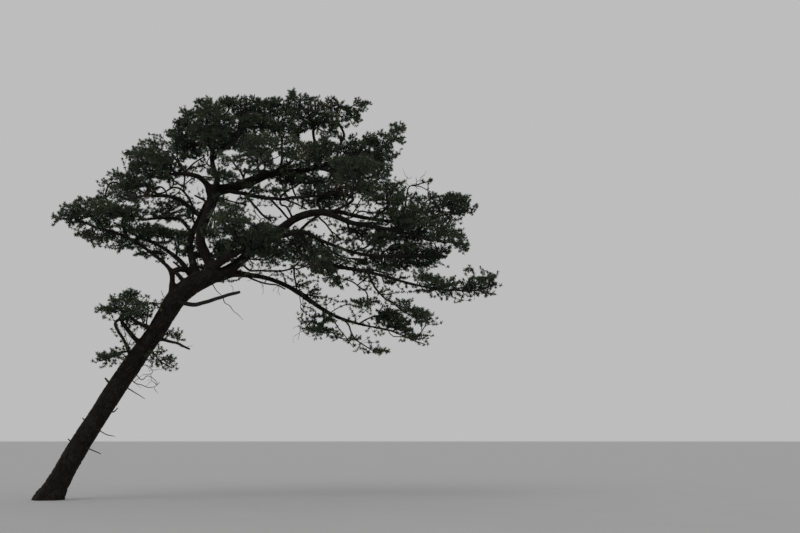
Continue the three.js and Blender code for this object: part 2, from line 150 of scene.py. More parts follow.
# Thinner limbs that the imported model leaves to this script: what carries each,
# its diameters in millimetres at both ends, and its way points as picture
# units with the depth gained since its start, in metres.
THIN_LIMBS = {
    "arch_root": ("right_bough", 330, 226, [(246, 253, 0), (254, 246, -0.02), (264, 240, -0.05), (272, 235, -0.08), (280, 230, -0.10)]),
    "arch_upper": ("arch_bough", 146, 98, [(325, 212, 0), (340, 212, 0.20), (352, 215, 0.35), (366, 218, 0.50), (380, 220, 0.60), (392, 222, 0.70)]),
    "upper_reach": ("upper_right_bough", 225, 100, [(262, 176, 0), (280, 172, 0.05), (300, 171, 0.05), (320, 166, 0.0), (340, 160, -0.10), (356, 154, -0.15)]),
    "upper_low": ("upper_right_bough", 125, 75, [(222, 190, 0), (240, 193, -0.15), (255, 196, -0.25), (275, 199, -0.35), (300, 197, -0.40), (316, 196, -0.40), (340, 192, -0.40)]),
    "upper_low_fork": ("upper_low", 62, 34, [(283, 199, 0), (296, 204, -0.10), (307, 209, -0.20)]),
    "leader_twig_a": ("upper_low", 72, 58, [(244, 194, 0), (252, 203, -0.1), (262, 214, -0.2), (271, 221, -0.25)]),
    "leader_twig_b": ("upper_low", 66, 56, [(270, 198, 0), (279, 208, 0.1), (290, 221, 0.2)]),
    "riser": ("upper_reach", 82, 66, [(281, 172, 0), (281.5, 160, 0.05), (282, 150, 0.1), (282, 138, 0.1)]),
    "riser_left": ("upper_right_bough", 70, 40, [(246, 184, 0), (241, 172, -0.2), (235, 165, -0.3), (229, 157, -0.4)]),
    "drop_a": ("upper_reach", 62, 46, [(279, 173, 0), (282, 185, -0.05), (289, 200, -0.1)]),
    "drop_b": ("upper_reach", 62, 46, [(287, 172, 0), (292, 187, -0.05), (298, 201, -0.1)]),
    "left_riser": ("upper_left_bough", 56, 40, [(184, 174, 0), (190, 167, 0.1), (197, 161, 0.15), (204, 157, 0.2)]),
    "left_riser_b": ("upper_left_bough", 50, 30, [(170, 174, 0), (172, 163, 0.1), (180, 152, 0.2)]),
    "twig_arch": ("top_bough", 46, 22, [(215, 178, 0), (200, 177, -0.1), (190, 180, -0.15), (183, 186, -0.2), (178, 193, -0.2), (169, 197, -0.2)]),
    "stem_stub": ("stem_front", 74, 50, [(208, 203, 0), (202, 199, -0.15), (195, 195.5, -0.25)]),
    "left_arch": ("stem_back", 104, 70, [(193, 233, 0), (187, 227, 0.1), (182, 221, 0.15), (176, 218, 0.2), (160, 218, 0.3), (142, 220, 0.4)]),
    "low_left_reach": ("low_left_bough", 92, 40, [(138, 240, 0), (124, 236, -0.1), (110, 231, -0.2), (92, 226, -0.3), (76, 219, -0.4)]),
    "left_fork_reach": ("left_fork_bough", 100, 52, [(151, 242, 0), (140, 238, 0.1), (128, 230, 0.1), (114, 223, 0.0)]),
    "left_bridge": ("trunk", 140, 120, [(190, 288, 0), (184.5, 282.5, -0.15), (180.5, 277.5, -0.2), (176, 272.5, -0.25)]),
    "left_link": ("low_left_bough", 160, 170, [(172.5, 272, 0), (178, 269.5, 0.1), (184, 269.5, 0.25), (190, 271, 0.35)]),
    "left_stub": ("left_link", 66, 52, [(183, 268.5, 0), (178, 265.5, -0.05), (173.5, 262, -0.1)]),
    "arch_twig": ("arch_bough", 56, 32, [(315, 213, 0), (325, 224, -0.05), (332, 231, -0.1), (341, 239, -0.1)]),
    "arch_twig_c": ("arch_twig", 40, 26, [(330, 229, 0), (333, 237, 0), (334, 246, 0)]),
    "arch_twig_b": ("arch_upper", 44, 24, [(352, 215, 0), (358, 205, 0.1), (362, 197, 0.15)]),
    "arch_upper_reach": ("arch_upper", 74, 44, [(388, 221, 0), (404, 222, 0), (420, 220, 0), (438, 214, 0.1)]),
    "arch_lower_reach": ("arch_lower", 70, 36, [(414, 236, 0), (430, 240, -0.1), (450, 241, -0.2)]),
    "under_twig": ("right_bough", 58, 46, [(243, 265, 0), (252, 270.5, -0.2), (264, 271, -0.3), (278, 271, -0.4), (291, 268.5, -0.5), (298, 263, -0.5)]),
    "under_twig_drop": ("under_twig", 56, 42, [(294, 267, 0), (294.5, 278, -0.05), (297, 290, -0.1)]),
    "low_thin": ("low_right_bough", 56, 40, [(243, 274.5, 0), (254, 280, -0.1), (264, 283, -0.2), (277, 285, -0.3), (285, 289, -0.35)]),
    "top_bough_reach": ("top_bough", 118, 84, [(211, 149, 0), (209, 140, 0), (213, 128, 0)]),
    "leader_twig_c": ("stem_front", 52, 36, [(212, 196, 0), (222, 198, -0.15), (233, 202, -0.3), (246, 205, -0.4)]),
    "arch_short": ("arch_upper", 58, 42, [(383, 221, 0), (383, 212, -0.1)]),
    "small_arch": ("mid_left_bough", 58, 44, [(152, 196, 0), (153, 190, -0.05), (158, 187, -0.1), (163, 188, -0.15), (167, 194, -0.15)]),
    "low_right_end": ("low_right_tip", 62, 26, [(376, 328, 0), (388, 330, 0), (402, 335, -0.05), (415, 341, -0.1), (424, 344, -0.1)]),
    "lowest_bough": ("low_right_tip", 50, 32, [(334, 316, 0), (347, 323, 0), (355, 339, -0.08), (367, 347, -0.15)]),
    "mid_reach": ("arch_root", 128, 66, [(262, 241, 0), (284, 236, -0.1), (306, 232, -0.2), (316, 238, -0.25), (330, 244, -0.3), (346, 250, -0.35), (362, 254, -0.35), (380, 256, -0.3), (412, 256, -0.2), (448, 256, -0.1)]),
    "mid_reach_low": ("mid_reach", 66, 40, [(318, 239, 0), (330, 251, 0.05), (345, 257, 0.1), (368, 260, 0.1)]),
    "mid_right_root": ("mid_reach", 116, 118, [(300, 233, 0), (306, 243, 0.05), (313, 254, 0), (322, 262, -0.05), (332, 265, -0.1)]),
    "mid_right_reach": ("mid_right_bough", 64, 34, [(408, 283, 0), (430, 288, 0), (450, 290, 0.1), (470, 291, 0.2), (486, 288, 0.3), (497, 284, 0.35)]),
    "mid_right_rise": ("mid_right_reach", 42, 24, [(462, 291, 0), (472, 283, 0.1), (474, 274, 0.15)]),
    "right_droop": ("mid_right_bough", 66, 40, [(369, 272, 0), (371, 280, 0), (376, 289, 0.05), (384, 297, 0.1), (394, 304, 0.15), (404, 312, 0.15)]),
    "right_droop_b": ("mid_right_bough", 38, 16, [(332, 265, 0), (338, 276, 0), (344, 290, 0)]),
}
DEAD_THIN = {
    "stick_a": ("right_bough", 34, 12, [(212, 284, 0), (216, 290, -0.1), (222, 296, -0.15)]),
    "stick_b": ("broken_bough", 24, 8, [(222, 297, 0), (225, 303, -0.05), (229, 306, -0.08), (233, 311, -0.1), (238, 314, -0.1), (243, 320, -0.1)]),
    "stick_c": ("trunk", 44, 14, [(124, 386, -0.1), (134, 392, -0.3), (145, 399, -0.45)]),
    "stick_d": ("trunk", 40, 16, [(92, 428, -0.1), (103, 433, -0.3), (115, 436.5, -0.4)]),
    "stick_e": ("trunk", 44, 22, [(82, 446, -0.1), (92, 450, -0.3), (101, 454, -0.4)]),
    "stub_a": ("trunk", 84, 52, [(116, 386, -0.1), (109, 382, -0.25), (105, 378, -0.3)]),
    "snag_a": ("trunk", 60, 30, [(88, 424, 0), (82.5, 418, -0.2)]),
    "snag_b": ("trunk", 60, 30, [(74, 444, 0), (68, 439, -0.2)]),
    "snag_c": ("trunk", 50, 26, [(112, 412, 0), (118, 408, -0.2)]),
    "snag_d": ("low_left_bough", 26, 12, [(171, 297, 0), (165, 297, -0.05), (161, 290, -0.1)]),
    "dead_top": ("arch_upper_reach", 66, 12, [(402, 221, 0), (405, 207, 0.1), (407, 194, 0.15), (408.5, 189, 0.15), (411, 185.7, 0.15), (416, 186, 0.2), (421, 187, 0.25), (428, 190.5, 0.3), (435, 194, 0.35)]),
    "dead_top_b": ("dead_top", 40, 20, [(412, 185.6, 0), (417, 184.5, 0), (423, 183.5, 0.05), (428, 181.6, 0.1), (431, 178.5, 0.1)]),
    "dead_top_c": ("dead_top", 20, 9, [(408, 189, 0), (402, 185, -0.1), (394, 178, -0.2)]),
    "dead_top_d": ("dead_top_b", 13, 6, [(417, 184.4, 0), (416, 177, 0)]),
    "dead_top_e": ("dead_top_b", 13, 6, [(420, 184, 0), (421.5, 176, 0)]),
    "dead_top_f": ("dead_top", 14, 6, [(410, 187, 0), (406.5, 182, -0.05), (408, 176, -0.05)]),
    "dead_hang": ("low_right_tip", 42, 18, [(326, 313, 0), (334, 322, -0.05), (341, 331, -0.1), (354, 348, -0.15)]),
    "dead_drop": ("low_right_bough", 22, 8, [(302, 297, 0), (303, 312, -0.05), (301, 325, -0.1), (298, 340, -0.1)]),
    "dead_fine_a": ("trunk", 30, 12, [(130, 379, -0.1), (140, 385, -0.3), (150, 387.5, -0.45), (156, 386, -0.5), (159.5, 382, -0.5)]),
    "dead_fine_b": ("trunk", 28, 12, [(134, 372, -0.1), (142.5, 380, -0.3), (147.5, 376, -0.35), (155, 380, -0.45), (158, 384.5, -0.5)]),
    "dead_fine_c": ("trunk", 26, 11, [(136, 368, -0.1), (145, 365, -0.25), (151, 368, -0.3), (152.5, 373, -0.35), (143, 375, -0.4)]),
}
# The limbs that carry the small crown low on the trunk.
SMALL_THIN = {
    "small_prop": ("trunk", 122, 84, [(156, 331, -0.15), (146, 326.5, -0.2), (136, 321, -0.25), (128, 314, -0.2)]),
    "small_loop": ("trunk", 96, 70, [(130, 354, -0.1), (127, 347, -0.3), (122, 337, -0.45), (117, 329, -0.5), (115, 324, -0.5), (118, 320.5, -0.5), (124, 320, -0.45), (130, 313, -0.4)]),
    "small_fork": ("trunk", 84, 56, [(152, 330, -0.1), (142, 325.5, -0.4), (134, 320, -0.5), (124, 312, -0.6), (114, 305, -0.7)]),
    "small_low_limb": ("trunk", 62, 36, [(132, 352, 0.1), (124, 352, -0.2), (114, 356, -0.4), (100, 361, -0.5)]),
    "small_right_limb": ("dead_bough", 42, 24, [(160, 340, 0), (165, 335, 0.05), (172, 334, 0.1)]),
    "small_under_limb": ("trunk", 50, 30, [(148, 346, -0.1), (154, 354, -0.3), (162, 362, -0.4), (172, 368, -0.5)]),
}

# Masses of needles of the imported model: middle; half width, half depth and half
# height; lean down towards +X in degrees; and how closed each looks from the
# front, from 0 to 1. The order of the rows sets the seed of each one's lumps.
MASSES = {
    "top_left": ((4.38, -0.60, 10.30), (0.65, 1.50, 0.80), 10, 0.96),
    "top_middle": ((5.49, 0.90, 11.19), (1.09, 1.60, 0.42), 8, 0.94),
    "top_right": ((7.19, -0.80, 10.65), (0.85, 1.35, 0.29), 13, 0.90),
    "top_tip": ((7.85, 0.90, 11.35), (0.69, 1.10, 0.20), 10, 0.81),
    "top_front": ((5.98, -2.70, 9.06), (1.17, 1.25, 0.35), -19, 0.74),
    "top_back": ((4.65, 3.00, 10.92), (1.06, 1.30, 0.43), 16, 0.97),
    "shoulder": ((3.32, 1.00, 10.41), (0.50, 1.30, 0.74), 6, 0.91),
    "left_upper": ((2.80, -0.90, 9.27), (0.72, 1.30, 0.62), 11, 0.90),
    "left_middle": ((1.88, 0.90, 9.08), (0.75, 1.25, 0.26), 15, 0.86),
    "left_long": ((1.16, -0.90, 7.84), (1.09, 1.30, 0.30), -6, 0.89),
    "left_low": ((1.78, 0.70, 7.55), (1.38, 1.20, 0.38), -3, 0.78),
    "left_inner": ((2.69, 1.90, 8.49), (0.80, 0.90, 0.47), -8, 0.64),
    "left_back": ((1.07, 2.90, 9.10), (0.77, 1.15, 0.32), 16, 0.76),
    "fork_upper": ((6.39, 1.00, 9.39), (0.77, 1.10, 0.34), 2, 0.90),
    "centre_front": ((5.84, -1.00, 7.05), (0.68, 1.20, 0.61), -12, 0.90),
    "centre_low": ((7.55, -0.50, 6.62), (0.64, 1.15, 0.57), 8, 0.78),
    "centre_left": ((5.18, -2.20, 7.32), (0.57, 1.05, 0.54), -10, 0.79),
    "centre_back": ((6.63, 1.90, 7.36), (0.69, 1.30, 0.53), -13, 0.91),
    "right_upper": ((7.33, -0.90, 9.55), (0.71, 1.20, 0.44), -24, 0.90),
    "right_high": ((8.39, 0.90, 9.92), (0.63, 1.35, 0.52), -6, 0.89),
    "right_shoulder": ((9.30, 0.00, 9.96), (0.36, 1.10, 0.72), 32, 0.74),
    "right_inner": ((7.50, 0.50, 8.64), (1.11, 1.25, 0.31), -9, 0.90),
    "right_middle": ((9.28, -1.20, 8.20), (0.70, 1.25, 0.33), -8, 0.82),
    "right_back": ((7.80, 3.00, 9.97), (0.94, 1.20, 0.49), -14, 0.90),
    "right_front": ((8.59, -3.10, 8.48), (0.78, 1.15, 0.38), 3, 0.96),
    "outer_middle": ((9.96, 0.10, 7.76), (0.71, 1.30, 0.72), -1, 0.89),
    "outer_top": ((11.12, 1.20, 8.41), (0.64, 1.05, 0.45), -13, 0.88),
    "outer_low": ((10.94, -1.00, 7.16), (0.53, 1.00, 0.41), 15, 0.78),
    "strip_inner": ((8.55, 1.10, 7.55), (0.79, 1.00, 0.38), 1, 0.70),
    "strip_outer": ((9.62, 0.70, 6.82), (1.22, 1.25, 0.50), -6, 0.84),
    "far_inner": ((10.61, -0.50, 5.90), (0.66, 0.95, 0.24), 20, 0.86),
    "far_tip": ((11.90, 0.10, 5.96), (0.59, 0.90, 0.31), -12, 0.76),
    "low_middle": ((9.42, 0.90, 4.98), (0.60, 0.95, 0.33), 23, 0.86),
    "low_outer": ((10.05, -0.40, 5.11), (0.61, 0.85, 0.20), 22, 0.82),
    "low_tip": ((10.06, 0.80, 4.57), (0.30, 0.60, 0.17), 29, 0.80),
    "hanging": ((7.36, 0.90, 4.91), (0.48, 0.85, 0.38), 17, 0.76),
    "lowest": ((9.02, 0.50, 4.13), (0.35, 0.50, 0.14), 2, 0.62),
    "small_top": ((2.22, -0.40, 5.17), (0.66, 1.05, 0.44), 10, 0.75),
    "small_low": ((1.70, -0.40, 3.89), (0.55, 0.65, 0.21), -21, 0.64),
    "small_right": ((3.16, 0.40, 4.59), (0.30, 0.50, 0.19), -1, 0.50),
    "fork_lower": ((4.42, 1.10, 7.10), (0.36, 0.90, 0.44), 6, 0.89),
}
MASS_ROUGH, MASS_LUMPS, UNDERSIDE = 0.17, 2.6, 0.80

# The limbs whose boughs run on into each mass.
HELD_BY = {
    "top_left": ("top_bough_reach", "top_bough"),
    "top_middle": ("top_bough_reach", "riser"),
    "top_right": ("riser", "upper_reach"),
    "top_tip": ("riser", "upper_reach"),
    "top_front": ("upper_right_bough", "riser_left"),
    "top_back": ("top_bough_reach", "top_bough"),
    "shoulder": ("top_bough_reach", "left_riser", "left_riser_b"),
    "left_upper": ("upper_left_bough", "left_riser_b"),
    "left_middle": ("mid_left_bough",),
    "left_long": ("low_left_reach",),
    "left_low": ("low_left_bough", "left_fork_reach", "low_left_reach"),
    "left_inner": ("mid_left_bough", "left_arch"),
    "left_back": ("left_arch", "mid_left_bough"),
    "fork_upper": ("upper_right_bough", "upper_reach"),
    "centre_front": ("fork_bough", "arch_root"),
    "centre_low": ("mid_reach", "mid_right_root"),
    "centre_left": ("fork_bough",),
    "centre_back": ("arch_root", "right_bough"),
    "right_upper": ("upper_reach",),
    "right_high": ("upper_reach",),
    "right_shoulder": ("upper_reach",),
    "right_inner": ("upper_low",),
    "right_middle": ("arch_upper", "arch_upper_reach"),
    "right_back": ("upper_reach",),
    "right_front": ("upper_low", "arch_upper"),
    "outer_middle": ("arch_upper_reach", "arch_lower"),
    "outer_top": ("arch_upper_reach",),
    "outer_low": ("arch_lower_reach",),
    "strip_inner": ("arch_lower",),
    "strip_outer": ("mid_reach",),
    "far_inner": ("mid_right_reach",),
    "far_tip": ("mid_right_reach",),
    "low_middle": ("low_right_tip", "low_right_end"),
    "low_outer": ("right_droop",),
    "low_tip": ("low_right_end",),
    "hanging": ("low_right_tip",),
    "lowest": ("lowest_bough",),
    "small_top": ("small_prop", "small_loop", "small_fork", "small_crown_bough"),
    "small_low": ("small_low_limb",),
    "small_right": ("small_right_limb",),
    "fork_lower": ("stem_front",),
}

# Loose sprays between the masses, on the thinner limbs: the picture point, the
# depth, the half width and half height in picture units, and how closed each is.
LOOSE = [
    (252, 168, -0.2, 14, 8, 0.50),
    (176, 145, 0.2, 13, 8, 0.45),
    (146, 189, -0.4, 14, 7, 0.60),
    (172, 236, 0.6, 17, 5, 0.85),
    (238, 245, -0.6, 12, 9, 0.92),
    (226, 259, -0.2, 13, 5, 0.80),
    (152, 231, 0.4, 16, 7, 0.60),
    (128, 246, 0.2, 22, 6, 0.65),
    (163, 242, 0.6, 12, 8, 0.35),
    (241, 205, -0.4, 14, 8, 0.50),
    (240, 238, -0.8, 16, 12, 0.60),
    (219, 218, -0.5, 9, 9, 0.45),
    (345, 203, 0.2, 14, 8, 0.40),
    (382, 213, 0.4, 14, 7, 0.60),
    (376, 223, -0.4, 13, 5, 0.60),
    (342, 240, -0.5, 12, 6, 0.35),
    (380, 240, -0.4, 18, 8, 0.45),
    (299, 286, 0.5, 12, 7, 0.45),
    (313, 296, 0.6, 11, 9, 0.55),
    (360, 305, -0.3, 14, 6, 0.60),
    (405, 303, -0.2, 12, 6, 0.35),
    (331, 273, -0.5, 5, 6, 0.80),
    (337, 282, -0.5, 4, 6, 0.80),
    (383, 296, -0.3, 8, 9, 0.20),
    (166, 361, -0.5, 12, 9, 0.35),
    (428, 226, 0.2, 14, 8, 0.50),
    (338, 128, 0.0, 14, 7, 0.35),
    (372, 141, 0.2, 9, 7, 0.80),
    (291, 97, 0.2, 5, 7, 0.75),
    (273, 103, 0.2, 9, 5, 0.75),
    (228, 104, 0.0, 12, 6, 0.85),
    (400, 129, 0.0, 7, 6, 0.60),
    (75, 222, -0.8, 14, 6, 0.60),
    (88, 235, -0.2, 12, 7, 0.55),
    (196, 166, 0.2, 15, 7, 0.55),
    (135, 170, 0.3, 9, 6, 0.75),
    (179, 125, 0.4, 6, 7, 0.55),
    (205, 104, -0.2, 10, 7, 0.65),
    (470, 205, 0.8, 8, 12, 0.45),
    (493, 281, 0.2, 6, 8, 0.55),
    (125, 327, -0.3, 10, 8, 0.45),
    (131, 295, -0.3, 9, 5, 0.75),
    (106, 311, -0.4, 9, 7, 0.65),
    (124, 213, -0.6, 24, 7, 0.90),
    (130, 186, -0.3, 14, 6, 0.85),
    (101, 199, -0.5, 12, 6, 0.60),
    (183, 251, 0.5, 15, 11, 0.75),
    (160, 252, 0.3, 8, 7, 0.60),
    (147, 253, 0.2, 16, 6, 0.65),
    (176, 181, -0.3, 16, 14, 0.40),
    (219, 175, -0.5, 20, 7, 0.60),
    (252, 125, -0.3, 24, 9, 0.90),
    (297, 133, -0.2, 12, 12, 0.70),
    (290, 157, 0.0, 12, 7, 0.70),
    (274, 194, -0.1, 18, 6, 0.65),
    (310, 182, 0.2, 17, 7, 0.80),
    (210, 232, -0.5, 8, 9, 0.70),
    (272, 254, -0.6, 18, 7, 0.80),
    (308, 270, -0.8, 24, 10, 0.55),
    (360, 268, 0.2, 16, 9, 0.60),
    (360, 291, -0.3, 10, 4, 0.35),
    (432, 256, 0.2, 13, 8, 0.80),
    (452, 284, 0.0, 12, 7, 0.50),
    (366, 188, -1.0, 14, 8, 0.90),
    (410, 199, 0.2, 12, 6, 0.55),
    (434, 200, 0.6, 12, 7, 0.55),
    (455, 199, 0.9, 11, 6, 0.55),
    (385, 238, -0.3, 15, 9, 0.70),
    (349, 340, 0.9, 10, 5, 0.45),
    (464, 288, 0.1, 12, 4, 0.65),
    (329, 137, 0.3, 10, 11, 0.45),
    (357, 117, 0.7, 12, 10, 0.55),
    (325, 320, 0.5, 16, 9, 0.45),
    (412, 337, 0.3, 12, 4, 0.40),
    (254, 189, -0.2, 9, 4, 0.70),
    (424, 264, 0.1, 13, 4, 0.70),
    (151, 304, -0.4, 8, 5, 0.50),
    (215, 154, 0.0, 15, 5, 0.50),
    (326, 206, 0.1, 11, 3.5, 0.70),
    (318, 125, 0.0, 9, 5, 0.80),
    (368, 279, 0.0, 16, 5, 0.45),
    (357, 252, -0.3, 10, 6, 0.60),
    (341, 139, 0.1, 4, 3, 0.80),
    (301, 139, 0.0, 5, 5, 0.80),
    (182, 158, 0.2, 8, 5, 0.50),
    (211, 235, -0.4, 7, 3, 0.80),
    (384, 318, 0.4, 13, 7, 0.80),
    (370, 303, -0.3, 13, 4, 0.65),
    (318, 331, 0.7, 14, 5, 0.70),
    (262, 264, -0.4, 17, 6, 0.50),
    (58, 218, -0.9, 5, 7, 0.50),
    (197, 254, 1.0, 6, 12, 0.80),
    (228, 152, -0.2, 9, 4, 0.60),
    (432, 241, -0.2, 6, 7, 0.60),
    (113, 311, -0.5, 5, 5, 0.70),
    (186, 238, 0.9, 7, 7, 0.80),
    (221, 201, -0.3, 7, 7, 0.70),
    (128, 301, -0.4, 6, 4, 0.80),
    (433, 218, 0.3, 6, 4, 0.80),
    (379, 244, -0.3, 12, 4, 0.80),
    (267, 216, -0.2, 6, 6, 0.70),
    (202, 268, 0.9, 5, 3, 0.80),
    (258, 194, -0.2, 9, 5, 0.70),
    (110, 181, -0.3, 8, 5, 0.50),
    (336, 337, 0.7, 6, 4, 0.60),
    (374, 144, 0.2, 8, 4, 0.80),
    (388, 169, 0.2, 6, 9, 0.50),
    (286, 109, 0.3, 6, 5, 0.85),
    (269, 164, 0.0, 8, 6, 0.80),
    (278, 130, -0.2, 10, 5, 0.85),
    (155, 356, -0.3, 9, 9, 0.60),
    (190, 114, 0.6, 9, 7, 0.80),
    (380, 160, -0.2, 8, 8, 0.90),
    (290, 141, -0.3, 18, 8, 0.60),
    (392, 280, 0.0, 13, 8, 0.60),
    (376, 272, -0.3, 17, 6, 0.45),
    (428, 294, -0.1, 18, 8, 0.40),
    (360, 105, 0.6, 10, 5, 0.70),
    (309, 99, 0.4, 12, 5, 0.65),
    (132, 219, -0.6, 12, 5, 0.80),
    (188, 217, 0.3, 9, 7, 0.60),
    (272, 215, -0.2, 12, 7, 0.45),
    (422, 321, 0.2, 17, 7, 0.45),
    (424, 182.5, 0.2, 3, 2, 0.5),
    (430, 181, 0.2, 2, 2, 0.5),
    (224, 179, -0.6, 19, 5, 0.60),
    (336, 281, -0.5, 13, 8, 0.35),
    (462, 247, -0.3, 8, 6, 0.60),
    (443, 251, -0.2, 8, 5, 0.60),
    (64, 216, -0.9, 6, 7, 0.50),
    (474, 271, 0.3, 10, 5, 0.35),
    (487, 292, 0.2, 10, 5, 0.40),
    (100, 358, -0.5, 8, 6, 0.60),
    (178, 337, -0.3, 6, 8, 0.45),
]

# Single shoots strewn on fine twigs in the open parts of the crown: the picture
# point, the depth, the half width and half height, and how many.
STREWN = [
    (176, 246, 0.5, 20, 14, 34),
    (182, 230, 0.4, 16, 8, 18),
    (186, 196, 0.1, 20, 14, 34),
    (160, 203, -0.2, 18, 9, 22),
    (200, 160, 0.2, 24, 12, 34),
    (236, 158, 0.0, 24, 9, 26),
    (272, 160, 0.0, 14, 9, 16),
    (257, 190, -0.2, 18, 7, 22),
    (268, 212, -0.3, 22, 10, 24),
    (222, 246, -0.3, 14, 10, 20),
    (240, 262, -0.4, 14, 5, 12),
    (282, 258, -0.5, 20, 9, 26),
    (322, 205, 0.1, 24, 6, 18),
    (330, 223, -0.2, 28, 9, 38),
    (342, 205, 0.2, 16, 7, 12),
    (325, 170, -0.1, 26, 10, 24),
    (314, 134, 0.0, 26, 12, 24),
    (338, 280, -0.2, 12, 8, 14),
    (304, 284, 0.2, 15, 10, 16),
    (314, 303, 0.5, 15, 11, 26),
    (315, 326, 0.6, 17, 9, 18),
    (374, 306, -0.2, 26, 9, 34),
    (392, 330, 0.4, 24, 8, 30),
    (364, 345, 0.4, 13, 7, 14),
    (400, 286, -0.1, 22, 8, 24),
    (452, 294, 0.0, 26, 6, 26),
    (424, 270, 0.1, 24, 8, 24),
    (358, 250, -0.3, 20, 7, 18),
    (374, 218, 0.3, 18, 7, 18),
    (124, 330, -0.3, 12, 10, 12),
    (168, 366, -0.5, 10, 5, 10),
    (108, 362, -0.5, 16, 5, 12),
    (154, 304, -0.3, 8, 7, 8),
    (129, 160, 0.3, 8, 6, 8),
    (117, 184, -0.3, 6, 5, 9),
    (268, 262, -0.4, 22, 5, 26),
    (197, 243, 0.1, 3, 8, 6),
    (236, 256, -0.3, 12, 8, 16),
    (178, 238, 0.5, 14, 6, 14),
    (266, 148, 0.0, 12, 9, 16),
    (284, 182, 0.0, 24, 7, 20),
    (420, 336, 0.2, 12, 6, 8),
    (454, 218, 0.3, 8, 8, 8),
    (218, 250, -0.3, 7, 10, 24),
    (167, 253, 0.5, 17, 6, 36),
    (190, 262, 0.4, 5, 8, 10),
    (160, 170, 0.1, 16, 10, 22),
    (176, 214, 0.1, 22, 9, 30),
    (310, 316, 0.6, 13, 9, 12),
    (355, 318, 0.5, 14, 7, 14),
    (372, 266, 0.0, 24, 6, 22),
    (344, 236, -0.2, 22, 6, 18),
    (462, 286, 0.1, 18, 4, 12),
    (363, 208, 0.3, 10, 6, 14),
    (258, 266, -0.4, 17, 6, 40),
    (193, 201, 0.1, 9, 5, 16),
    (368, 284, 0.0, 14, 7, 12),
    (105, 184, -0.3, 7, 5, 8),
    (151, 203, -0.2, 8, 6, 10),
    (322, 332, 0.7, 18, 6, 16),
    (377, 300, 0.1, 9, 4, 8),
    (146, 301, -0.4, 12, 7, 14),
    (375, 318, 0.4, 6, 6, 8),
    (160, 139, 0.2, 13, 7, 14),
    (284, 277, 0.0, 9, 5, 9),
    (419, 266, 0.1, 9, 5, 8),
    (216, 154, 0.0, 16, 6, 12),
    (211, 238, -0.2, 7, 3, 5),
    (136, 327, -0.3, 14, 5, 12),
    (322, 303, 0.5, 20, 8, 14),
    (121, 247, 0.1, 16, 5, 14),
    (460, 299, 0.1, 10, 5, 8),
    (307, 306, 0.5, 12, 8, 14),
    (268, 217, -0.2, 7, 6, 14),
    (309, 328, 0.6, 6, 4, 9),
    (234, 281, -0.3, 12, 3, 8),
    (151, 214, 0.2, 12, 10, 16),
    (346, 289, 0.1, 9, 6, 6),
    (268, 271, -0.3, 27, 7, 28),
    (187, 177, 0.0, 16, 6, 18),
    (366, 208, 0.3, 13, 6, 12),
    (153, 202, -0.2, 10, 7, 12),
    (220, 156, 0.0, 20, 7, 18),
    (163, 143, 0.2, 12, 7, 14),
    (172, 258, 0.6, 18, 6, 22),
    (178, 204, 0.1, 20, 7, 22),
    (262, 203, -0.2, 16, 6, 12),
    (289, 201, -0.3, 7, 6, 7),
    (335, 337, 0.7, 6, 4, 5),
    (423, 342, 0.2, 6, 4, 5),
    (109, 315, -0.4, 7, 5, 8),
    (127, 345, -0.4, 8, 5, 6),
    (187, 237, 0.4, 6, 8, 12),
    (217, 203, -0.2, 5, 8, 6),
    (435, 323, 0.2, 6, 4, 5),
    (358, 251, -0.3, 10, 8, 8),
]
STREWN_GAP = 3.3  # picture units between a strewn shoot and the next shoot

# Where the picture shows sky through the crown: middle and half sizes.
SKY = [
    (310, 138, 12, 6),
    (331, 139, 4, 3),
    (323, 174, 7, 4),
    (276, 158, 5, 7),
    (230, 153, 8, 4),
    (196, 190, 7, 6),
    (192, 163, 9, 4),
    (176, 225, 8, 4),
    (268, 212, 12, 5),
    (325, 231, 8, 5),
    (256, 262, 4, 2),
    (288, 264, 5, 2.5),
    (196, 250, 1.5, 4),
    (200, 262, 2, 4),
    (207, 243, 3.5, 3.5),
    (212, 252, 2, 3),
    (226, 267, 3, 1.3),
    (237, 261, 3, 1.8),
    (185, 262, 4, 5),
    (170, 247, 5, 3),
    (182, 247, 3, 3),
    (171, 264, 5, 4),
    (178, 284, 3, 6),
    (143, 189, 5, 3),
    (300, 222, 10, 3),
    (351, 288, 6, 3),
    (405, 297, 12, 3),
    (442, 272, 14, 2.5),
    (140, 336, 5, 6),
    (119, 327, 2, 3),
    (421, 193, 6, 4),
    (184, 102, 9, 5),
    (229, 93, 15, 4),
    (170, 113, 4, 7),
    (347, 293, 20, 3),
    (356, 243, 4, 3),
    (425, 295, 8, 2.5),
    (310, 94, 5, 3),
    (111, 158, 6, 8),
    (263, 185, 4, 2.5),
    (472, 203, 3, 7),
    (353, 201, 6, 2.5),
    (449, 246, 3, 2),
    (363, 115, 4, 3),
    (152, 296, 3, 3),
    (127, 204, 7, 3),
    (284, 95, 5, 3),
    (461, 279, 7, 2.5),
    (386, 128, 6, 3),
    (232, 167, 4, 5),
    (446, 211, 5, 2.5),
    (340, 130, 5, 3),
    (497, 280, 4, 3),
    (282, 214, 5, 4),
    (310, 198, 6, 2),
    (103, 303, 5, 3),
    (233, 200, 3, 3),
    (320, 320, 5, 3),
    (415, 332, 5, 2.5),
    (397, 275, 3, 4),
    (108, 352, 4, 2),
    (247, 227, 4, 3),
    (170, 126, 5, 4),
    (94, 195, 5, 3),
    (86, 219, 4, 2.5),
    (49, 213, 4, 9),
    (339, 273, 3, 4),
    (318, 278, 8, 3),
    (359, 137, 5, 2),
    (118, 229, 7, 2),
    (477, 271, 2.5, 5),
    (346, 237, 7, 3),
    (396, 147, 5, 6),
    (331, 326, 10, 3),
    (245, 167, 4, 5),
    (190, 107, 6, 3),
    (306, 271, 6, 4),
    (184.5, 276.5, 4, 3),
]

# ------------------------------------------------------------------- tools --


